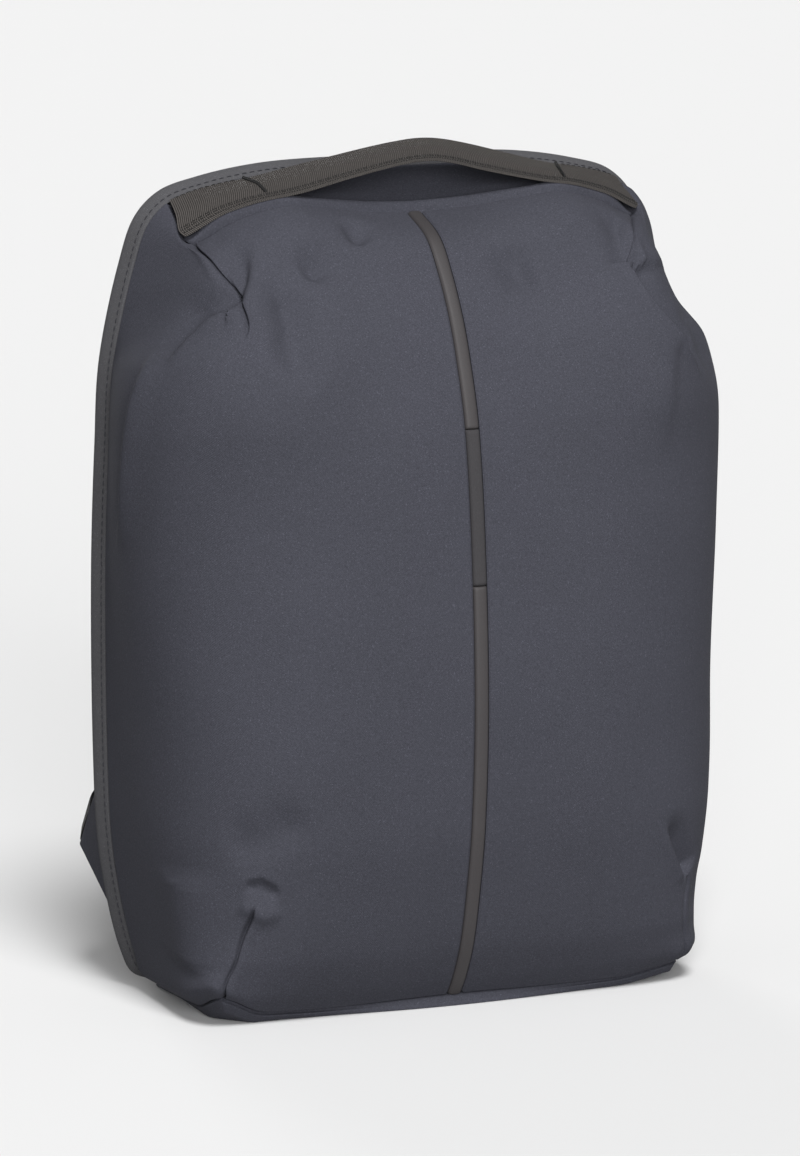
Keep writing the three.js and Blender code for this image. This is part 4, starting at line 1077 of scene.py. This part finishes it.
def frames_along(curve, shares, sideways_from, sideways_to):
    """At each share: the place, the direction, a sideways direction square to it that turns from
    one vector to the other, and the direction square to both."""
    place, way = on_curve(curve, shares)
    turn = ease(shares, 0, 1)[:, None]
    sideways = np.asarray(sideways_from) * (1 - turn) + np.asarray(sideways_to) * turn
    sideways = sideways - way * np.sum(sideways * way, 1, keepdims=True)
    sideways /= np.linalg.norm(sideways, axis=1, keepdims=True)
    return place, way, sideways, np.cross(way, sideways)


def ribbon(name, frames, across, up, material, taper=1.0):
    """A closed tube along the frames. across and up give the section, in millimetres, for each
    frame and each place round it. The two ends are closed by a flat grid of quads."""
    place, _, sideways, upright = frames
    wide = across * np.broadcast_to(np.asarray(taper, float).reshape(-1, 1), (len(place), 1))
    ring = (place[:, None] + sideways[:, None] * wide[..., None]
            + upright[:, None] * np.broadcast_to(up, wide.shape)[..., None])
    rows, sides = ring.shape[:2]
    at = np.arange(rows * sides).reshape(rows, sides)
    after = np.roll(at, -1, axis=1)
    quads = np.stack([at[:-1], after[:-1], after[1:], at[1:]], -1).reshape(-1, 4)
    i = np.arange(sides // 2 - 1)
    first = np.stack([i, sides - 1 - i, sides - 2 - i, i + 1], -1)
    last = first[:, ::-1] + (rows - 1) * sides
    length = np.concatenate([[0], np.cumsum(np.linalg.norm(np.diff(place, axis=0), axis=1))])
    round_about = np.broadcast_to(across, (rows, sides)) / 1000
    uv = np.stack([round_about, np.repeat(length[:, None] / 1000, sides, 1)], -1)
    return new_mesh(name, ring, np.vstack([quads, first, last]), uv, material)


def signed_power(x, power):
    """A power of x that keeps its sign."""
    return np.sign(x) * np.abs(x) ** power


# %% [markdown]
# A strap is a padded ribbon. It is shaped by a section carried along a curve, because nothing of
# it shows, and a simulated pad would leave the line on which it meets its buckle.

# %% Shoulder straps
def make_strap(side, word):
    """The section is a flattened superellipse, thinner near the stitched binding along both
    edges, and it tapers towards the buckle."""
    shares = np.linspace(0.004, 0.996, 180)
    frames = frames_along(strap_route(side), shares, (side, 0, 0), (side, 0, 0))
    angle = np.linspace(0, 2 * np.pi, 64, endpoint=False)
    across = signed_power(np.cos(angle), SECTION_WIDE) * STRAP_WIDTH / 2
    up = signed_power(np.sin(angle), SECTION_THICK) * STRAP_THICKNESS / 2
    edge = STRAP_WIDTH / 2 - np.abs(across)
    up = up * (1 - BINDING_SINK * bell(edge - BINDING_AT, BINDING_WIDTH))
    ends = np.minimum(shares, 1 - shares)[:, None] * STRAP_LENGTH
    up = up[None, :] * (END_THIN + (1 - END_THIN) * np.sqrt(np.clip(ends / STRAP_END, 0, 1)))
    taper = 1 - TAPER_BY * ease(shares, TAPER_FROM, 1)
    piece = ribbon(f"shoulder_pad_{word}", frames, across[None, :], up, PADDING,
                   taper)
    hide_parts(f"shoulder_strap_{word}")


for side, word in ((-1, "left"), (1, "right")):
    make_strap(side, word)
print("two shoulder straps made")


# %% Ladder buckles
BUCKLE_FRAME, BUCKLE_WINDOW, BUCKLE_THICKNESS = 4.0, 7.0, 5.0
TAPE_WIDTH, TAPE_THICKNESS, TAPE_PLAY = 25.0, 1.6, 1.5
MOULD_SHRINK, MOULD_EDGE = 0.05, 0.0009


def moulded(name, colour):
    """Moulded nylon: nearly smooth, with a fine spark-eroded grain and slight shading."""
    finish = Finish(name)
    maths = finish.maths
    finish.surface(0.42, 0.5)
    grain = finish.noise(2400.0, 3.0)
    finish.paint(colour, maths("ADD", 0.85, maths("MULTIPLY", grain, 0.3)))
    finish.emboss(grain, 0.15, 0.0002)
    rough = maths("ADD", 0.36, maths("MULTIPLY", grain, 0.14))
    finish.join(rough, finish.shader.inputs["Roughness"])
    return finish.material


PLASTIC = moulded("buckle_nylon", (0.010, 0.010, 0.011))


def buckle_place(side):
    """The middle of the buckle, the strap's direction at its lower end, the direction sideways,
    and the buckle's length."""
    curve = strap_route(side)
    place, way = curve[1][-1], curve[2][-1]
    sideways = np.array([side, 0, 0]) - way * side * way[0]
    sideways /= np.linalg.norm(sideways)
    length = 3 * BUCKLE_FRAME + 2 * BUCKLE_WINDOW
    return place + way * (length / 2 + SEAM_GAP), way, sideways, length


def make_buckle(side, word):
    """Three bars and two rails. The plate is a grid of cells without those of the two slots, as
    two skins joined round every free edge, and a Bevel modifier softens the mould's edges."""
    middle, way, sideways, _ = buckle_place(side)
    half = TAPE_WIDTH / 2 + TAPE_PLAY
    xs = np.array([-half - BUCKLE_FRAME, -half, half, half + BUCKLE_FRAME])
    w, b = BUCKLE_WINDOW, BUCKLE_FRAME
    ys = np.array([-b * 1.5 - w, -b / 2 - w, -b / 2, b / 2, b / 2 + w, b * 1.5 + w])
    facing = np.cross(sideways, -way)
    y, x = np.meshgrid(ys, xs, indexing="ij")
    flat = middle + x[..., None] * sideways - y[..., None] * way
    half_thick = BUCKLE_THICKNESS / 2 - MOULD_SHRINK
    low, high = flat - facing * half_thick, flat + facing * half_thick
    at = np.arange(24).reshape(6, 4)
    kept = [(i, j) for i in range(5) for j in range(3) if not (j == 1 and i in (1, 3))]
    quads = np.array([[at[i, j], at[i, j + 1], at[i + 1, j + 1], at[i + 1, j]] for i, j in kept])
    edges = [(a, c) for q in quads for a, c in zip(q, np.roll(q, -1))]
    free = [(a, c) for a, c in edges if (c, a) not in edges]
    sides = np.array([[c, a, a + 24, c + 24] for a, c in free])
    faces = np.vstack([quads + 24, quads[:, ::-1], sides[:, ::-1]])
    points = np.concatenate([low.reshape(-1, 3), high.reshape(-1, 3)])
    uv = np.tile(np.stack([x, y], -1).reshape(-1, 2) / 1000, (2, 1))
    piece = new_mesh(f"buckle_{word}", points, faces, uv, PLASTIC, sharp=180)
    bevel = piece.modifiers.new("soft_edges", "BEVEL")
    bevel.width, bevel.segments, bevel.limit_method = MOULD_EDGE, 3, "ANGLE"
    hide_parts(f"ladder_buckle_{word}")


for side, word in ((-1, "left"), (1, "right")):
    make_buckle(side, word)
print("two ladder buckles made")

# %% [markdown]
# The tab's free edge slants, and the webbing leaves it square to that edge. So the webbing is a
# sweep that starts in the tab's direction and ends in the buckle's, as a real one does when it
# hangs loose.

# %% Tabs and narrow webbing
WING_LOW, WING_HIGH, WING_REACH, WING_TIP_HEIGHT = 45.0, 109.0, 23.0, 84.0
WING_TIP_INSET, WING_GAP, WING_SLANT = 3.0, 0.8, math.radians(51.0)
WING_ACROSS, WING_OUT = 48.0, 26.0
HEM_CURL, HEM_RIDGE, HEM_AT, HEM_WIDTH = (0.5, 0.6), 0.3, 3, 1.6
WING_EDGE = np.array([0, math.cos(WING_SLANT), -math.sin(WING_SLANT)])
TAPE_LEAVES = np.array([0, math.sin(WING_SLANT), math.cos(WING_SLANT)])
TAPE_SECTION = table("across thick", [
    (-1, 0.35), (-0.93, 0.75), (-0.8, 0.95), (-0.4, 0.97), (0, 1), (0.4, 0.97), (0.8, 0.95),
    (0.93, 0.75), (1, 0.35),
])


def wing_tip(side):
    """The middle of the tab's free edge."""
    return np.array([side * (HALF_WIDTH - WING_TIP_INSET), BAND_REAR_Y + WING_REACH,
                     WING_TIP_HEIGHT])


def make_wing(side, word):
    """A grid of straight lines from the band's rear edge to the tip. Its free edges are folded
    over, so they are turned in, and a low ridge lies behind each fold."""
    v, f = np.meshgrid(spread(60, (0, 1), 6, 0.03), spread(40, (0, 1), 6, 0.03), indexing="ij")
    z = WING_LOW + (WING_HIGH - WING_LOW) * v
    q = np.interp(z, outline[1][:, 1], outline[0])
    x, _ = outline_point(q, BAND_CLOTH / 2)
    base = np.stack([side * x, np.full_like(x, BAND_REAR_Y + WING_GAP), z], -1)
    half_edge = TAPE_WIDTH / 2 + TAPE_PLAY
    far = wing_tip(side) + WING_EDGE * (half_edge * (1 - 2 * v))[..., None]
    outer = base * (1 - f)[..., None] + far * f[..., None]
    inner = outer.copy()
    edge = np.minimum(np.minimum(v, 1 - v) * WING_ACROSS, (1 - f) * WING_OUT)
    outer[..., 0] -= side * (curl(edge, *HEM_CURL) - HEM_RIDGE * bell(edge - HEM_AT, HEM_WIDTH))
    inner[..., 0] -= side * (CLOTH - curl(edge, *HEM_CURL))
    piece = wall(f"tab_{word}", outer, inner, SHELL_CLOTH)
    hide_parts(f"strap_wing_{word}")


def make_tape(side, word):
    """The webbing leaves the tab square to its edge, swings up behind the buckle and passes over
    its middle bar: a cubic sweep, then four places at the slot."""
    middle, way, sideways, _ = buckle_place(side)
    start = wing_tip(side) + TAPE_LEAVES * WING_GAP
    start[0] -= side * CLOTH / 2
    slot = middle + way * (BUCKLE_WINDOW + BUCKLE_FRAME) / 2
    facing = np.array([0, 1, 0]) - way * way[1]
    facing /= np.linalg.norm(facing)
    clear = (BUCKLE_THICKNESS + TAPE_THICKNESS) / 2 + SEAM_GAP

    def near(below, behind):
        return slot + way * below + facing * behind

    under = near(BUCKLE_WINDOW * 2, clear * 1.6)
    hold = [start, start + TAPE_LEAVES * TAPE_WIDTH, under + way * TAPE_WIDTH * 1.2, under]
    f = np.linspace(0, 1, 7)[:, None]
    sweep = ((1 - f) ** 3 * hold[0] + 3 * (1 - f) ** 2 * f * hold[1]
             + 3 * (1 - f) * f**2 * hold[2] + f**3 * hold[3])
    route = np.vstack([sweep, near(BUCKLE_WINDOW, clear * 1.4),
                       near(BUCKLE_WINDOW * 0.25, clear * 0.8),
                       near(-BUCKLE_WINDOW * 0.1, -BUCKLE_THICKNESS * 0.1)])
    frames = frames_along(smooth_curve(route), np.linspace(0, 1, 150), WING_EDGE, -sideways)
    shape, thin = TAPE_SECTION["across"], TAPE_SECTION["thick"]
    across = np.concatenate([shape, shape[::-1]]) * TAPE_WIDTH / 2
    up = np.concatenate([-thin, thin[::-1]]) * TAPE_THICKNESS / 2
    piece = ribbon(f"webbing_{word}", frames, across[None, :], up[None, :], BLACK_WEBBING)
    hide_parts(f"strap_webbing_{word}")


for side, word in ((-1, "left"), (1, "right")):
    make_wing(side, word)
    make_tape(side, word)
print("two tabs and their webbing made")

# %% [markdown]
# ## Threads
# Stitches tell the eye how large a bag is. Each one is a short, round thread whose two ends dip
# into the cloth. It could be a texture, but a real thread catches the light and keeps its shape in
# a close view, and with a few dozen faces each a row of hundreds costs little.

# %% Thread and stitch helpers
STRIPES_ALONG, STRIPES_ROUND = 9000.0, 6.0
THREAD_RINGS, THREAD_SIDES = 7, 6
THREAD_SHAPE = table("share lift size", [
    (0, -1.2, 0.5), (0.1, 0, 0.85), (0.28, 0.55, 1), (0.5, 0.7, 1), (0.72, 0.55, 1),
    (0.9, 0, 0.85), (1, -1.2, 0.5),
])


def sewing_thread(name, colour):
    """Twisted thread: slanted fine stripes along it, seen as bump and shade."""
    finish = Finish(name)
    maths = finish.maths
    finish.surface(0.6, 0.4)
    round_about, along = finish.weave_places()
    slant = maths("ADD", maths("MULTIPLY", along, STRIPES_ALONG),
                  maths("MULTIPLY", round_about, STRIPES_ROUND))
    twist = maths("SINE", slant)
    finish.paint(colour, maths("ADD", 1.0, maths("MULTIPLY", twist, 0.25)))
    finish.emboss(twist, 0.4, 0.0001)
    return finish.material


DARK_THREAD = sewing_thread("dark_thread", (0.020, 0.020, 0.026))
BLACK_THREAD = sewing_thread("black_thread", (0.006, 0.006, 0.006))


def stitches(name, start, end, normal, radius, material, slot):
    """One closed thread from each start to its end. Seven rings of six points: their centres lie
    on the line, lifted in the middle and sunk at both ends, and their sizes shrink at the ends."""
    start, end, normal = (np.asarray(a, float) for a in (start, end, normal))
    share = THREAD_SHAPE["share"]
    lift, size = THREAD_SHAPE["lift"] * radius, THREAD_SHAPE["size"] * radius
    way = end - start
    length = np.linalg.norm(way, axis=1)
    sideways = np.cross(way, normal)
    sideways /= np.linalg.norm(sideways, axis=1, keepdims=True)
    angle = np.linspace(0, 2 * np.pi, THREAD_SIDES, endpoint=False)
    centre = start[:, None] + way[:, None] * share[:, None] + normal[:, None] * lift[:, None]
    ring = (centre[:, :, None]
            + sideways[:, None, None] * (size[:, None] * np.cos(angle))[None, ..., None]
            + normal[:, None, None] * (size[:, None] * np.sin(angle))[None, ..., None])
    points = THREAD_RINGS * THREAD_SIDES
    at = np.arange(points).reshape(THREAD_RINGS, THREAD_SIDES)
    after = np.roll(at, -1, axis=1)
    quads = np.stack([at[:-1], at[1:], after[1:], after[:-1]], -1).reshape(-1, 4)
    first, last = at[0], at[-1]
    caps = np.array([first[[0, 1, 2, 3]], first[[0, 3, 4, 5]],
                     last[[3, 2, 1, 0]], last[[5, 4, 3, 0]]])
    faces = (np.vstack([quads, caps])[None] + points * np.arange(len(start))[:, None, None])
    uv = np.stack(np.broadcast_arrays(angle[None, None, :],
                                      (share[None, :, None] * length[:, None, None]) / 1000), -1)
    new_mesh(name, ring, faces.reshape(-1, 4), uv, material, sharp=180)
    print(name, "stitches", len(start))


def unit(vectors):
    """The same directions with the length 1."""
    return vectors / np.linalg.norm(vectors, axis=-1, keepdims=True)


def in_a_row(path, normals, pitch, length):
    """Starts, ends and normals of stitches at even distances along a path."""
    run = running(path[None], 1)[0]
    first = np.arange(pitch / 2, run[-1] - length, pitch)

    def take(values, at):
        return np.stack([np.interp(at, run, values[:, k]) for k in range(3)], -1)

    return take(path, first), take(path, first + length), unit(take(normals, first + length / 2))


# %% [markdown]
# One row of topstitching runs round the band, close behind its front edge. Its path is a row of
# the band's own profile, so every stitch lies on the cloth.

# %% Topstitching on the band
BAND_ROW_AT, BAND_ROW_FROM, BAND_ROW_OUT = 2.3, 0.012, 0.02
BAND_STITCH = {"pitch": 4.3, "length": 3.1, "radius": 0.30}


def band_row(distance, out):
    """A path round the band at a distance behind its front edge, and the normals there."""
    i = int(np.argmax(band_outer[:, 0] > SEAM_Y + SEAM_GAP + distance))
    y, inset = band_outer[i]
    slope = unit(band_outer[i + 1] - band_outer[i - 1])
    shares = np.linspace(BAND_FROM + BAND_ROW_FROM, 1, 900)
    inset = inset + band_tuck(shares)
    x, z = outline_point(shares, inset - out)
    further_x, further_z = outline_point(shares, inset - out - 1)
    path = np.stack([x, np.full_like(x, y), z], -1)
    square = unit(np.stack([further_x - x, np.zeros_like(x), further_z - z], -1))
    normal = unit(square * slope[0] + np.array([0, 1, 0]) * slope[1])
    flip = np.array([-1, 1, 1])
    return np.vstack([path * flip, path[::-1][1:]]), np.vstack([normal * flip, normal[::-1][1:]])


path, normal = band_row(BAND_ROW_AT, BAND_ROW_OUT)
row = in_a_row(path, normal, BAND_STITCH["pitch"], BAND_STITCH["length"])
stitches("band_topstitch", *row, BAND_STITCH["radius"], DARK_THREAD, "band_fabric")

# %% [markdown]
# The handle is sewn down with black thread. Three close rows run along its front edge, a plain
# row along the rear edge of each sewn end, and a dense bar of stitches crosses it where each sewn
# end stops.

# %% Stitches on the handle
EDGE_ROWS, EDGE_STITCH, EDGE_SHIFT = (0.03, 0.075, 0.12), (1.45, 0.85), 0.004
REAR_ROW, REAR_STITCH = 0.95, (3.4, 2.5)
TACK_FROM, TACK_TO, TACK_POINTS, TACK_ZIGZAG, TACK_OUT = 0.17, 0.93, 44, 0.005, 0.12
EDGE_RADIUS, REAR_RADIUS, TACK_RADIUS = 0.34, 0.2, 0.85


def on_handle(t, k, out=0.0):
    """Places on the handle's upper side, and the outward directions there."""
    under = handle_under(t, k)
    return under - inward(under) * (webbing_thick(k) + out)[..., None], -inward(under)


def handle_rows(name, rows, radius):
    """Joins rows of stitches into one piece."""
    stitches(name, *(np.vstack(part) for part in zip(*rows)), radius, BLACK_THREAD,
             "handle_webbing")


t = np.linspace(-0.985, 1.985, 900)
rows = [in_a_row(*on_handle(t + EDGE_SHIFT * i, np.full_like(t, k)), *EDGE_STITCH)
        for i, k in enumerate(EDGE_ROWS)]
handle_rows("handle_edge_rows", rows, EDGE_RADIUS)
ends = (np.linspace(-0.97, -0.03, 200), np.linspace(1.03, 1.97, 200))
rows = [in_a_row(*on_handle(t, np.full_like(t, REAR_ROW)), *REAR_STITCH) for t in ends]
handle_rows("handle_rear_rows", rows, REAR_RADIUS)
for word, at in (("left", 0.0), ("right", 1.0)):
    k = np.linspace(TACK_FROM, TACK_TO, TACK_POINTS)
    t = at + np.where(np.arange(len(k)) % 2 == 0, -TACK_ZIGZAG, TACK_ZIGZAG)
    path, normal = on_handle(t, k, TACK_OUT)
    handle_rows(f"handle_tack_{word}", [(path[:-1], path[1:], normal[:-1])], TACK_RADIUS)

# %% [markdown]
# ## Floor, light and camera
# A plain pale sheet of paper that curves up far behind the bag gives an even ground. In the
# photograph both sides of the bag are dark. Pale paper would throw light back on them, so this
# paper is hidden from light that is scattered by the cloth: it shows, and it takes shadows, but it
# casts no diffuse light on the bag; only glossy reflections still see it.

# %% Studio floor
PAPER_FRONT, PAPER_BACK, PAPER_ROUND, PAPER_HALF, PAPER_BELOW = -30.0, 24.0, 4.0, 40.0, 0.0003


def make_floor():
    """A strip of paper: flat, and far behind the bag a quarter round that ends upright."""
    angle = np.linspace(0, np.pi / 2, 24)
    depth = np.concatenate([[PAPER_FRONT], PAPER_BACK + PAPER_ROUND * np.sin(angle)])
    height = np.concatenate([[0.0], PAPER_ROUND * (1 - np.cos(angle))])
    points = np.array([(x, y, z - PAPER_BELOW) for y, z in zip(depth, height)
                       for x in (-PAPER_HALF, PAPER_HALF)])
    at = np.arange(len(points)).reshape(-1, 2)
    faces = np.stack([at[:-1, 0], at[:-1, 1], at[1:, 1], at[1:, 0]], -1)
    mesh = bpy.data.meshes.new("studio_paper")
    mesh.from_pydata(points.tolist(), [], faces.tolist())
    mesh.polygons.foreach_set("use_smooth", np.ones(len(faces), bool))
    paper = bpy.data.objects.new("studio_paper", mesh)
    bpy.context.scene.collection.objects.link(paper)
    material = bpy.data.materials.new("paper")
    material.use_nodes = True
    shader = material.node_tree.nodes["Principled BSDF"]
    shader.inputs["Base Color"].default_value = (0.78, 0.78, 0.78, 1)
    shader.inputs["Roughness"].default_value = 0.95
    shader.inputs["Specular IOR Level"].default_value = 0.1
    mesh.materials.append(material)
    paper.visible_diffuse = False


make_floor()
print("studio paper laid")

# %% [markdown]
# Three wide lamps light it. A high one in front models the folds, a low one in front lights the
# whole face, and a weak one behind shows the straps to whoever looks from there. A weak even sky
# fills the shadows. Lamps at a near distance would leave a bright spot on the paper, so these are
# far away, like suns, and wide, like a bright wall.

# %% Lights
LAMPS = (  # name, azimuth, elevation and width in degrees, and strength
    ("key", -8, 58, 20, 2.7),
    ("front", -13, 14, 34, 2.35),
    ("rear", 180, 14, 16, 0.75),
)
SKY_STRENGTH = 0.18


def wide_sun(name, azimuth, elevation, width, strength):
    """A far, wide lamp. azimuth 0 stands in front of the bag and grows to its right."""
    data = bpy.data.lights.new(name, "SUN")
    data.energy, data.angle = strength, math.radians(width)
    lamp = bpy.data.objects.new(name, data)
    bpy.context.scene.collection.objects.link(lamp)
    lamp.rotation_euler = (math.radians(90 - elevation), 0, math.radians(azimuth))


for lamp in LAMPS:
    wide_sun(*lamp)
world = bpy.data.worlds.new("studio")
world.use_nodes = True
sky = world.node_tree.nodes["Background"]
sky.inputs["Color"].default_value = (1, 1, 1, 1)
sky.inputs["Strength"].default_value = SKY_STRENGTH
bpy.context.scene.world = world
bpy.context.scene.view_settings.view_transform = "Standard"
print("lamps:", len(LAMPS))

# %% [markdown]
# The camera stands to the bag's left and looks slightly down, through a long lens. Where it aims
# is not the middle of the picture, so the lens is shifted to bring that point to its place.

# %% Camera
AZIMUTH, ELEVATION, DISTANCE = math.radians(-22.0), math.radians(11.0), 3.5
FOCAL_PIXELS, PICTURE = 6650.0, (800, 1156)
AIM, AIM_PIXEL = np.array([0, 0, 0.215]), (428.64, 591.97)
back = np.array([math.sin(AZIMUTH) * math.cos(ELEVATION),
                 -math.cos(AZIMUTH) * math.cos(ELEVATION), math.sin(ELEVATION)])
data = bpy.data.cameras.new("camera")
data.sensor_fit, data.sensor_height = "VERTICAL", 36.0
data.lens = FOCAL_PIXELS / PICTURE[1] * 36.0
data.shift_x = (PICTURE[0] / 2 - AIM_PIXEL[0]) / PICTURE[1]
data.shift_y = (AIM_PIXEL[1] - PICTURE[1] / 2) / PICTURE[1]
data.clip_end = 60
camera = bpy.data.objects.new("camera", data)
bpy.context.scene.collection.objects.link(camera)
camera.location = AIM + back * DISTANCE
camera.rotation_euler = (math.pi / 2 - ELEVATION, 0, AZIMUTH)
bpy.context.scene.camera = camera
print("camera at", [round(float(v), 3) for v in camera.location])
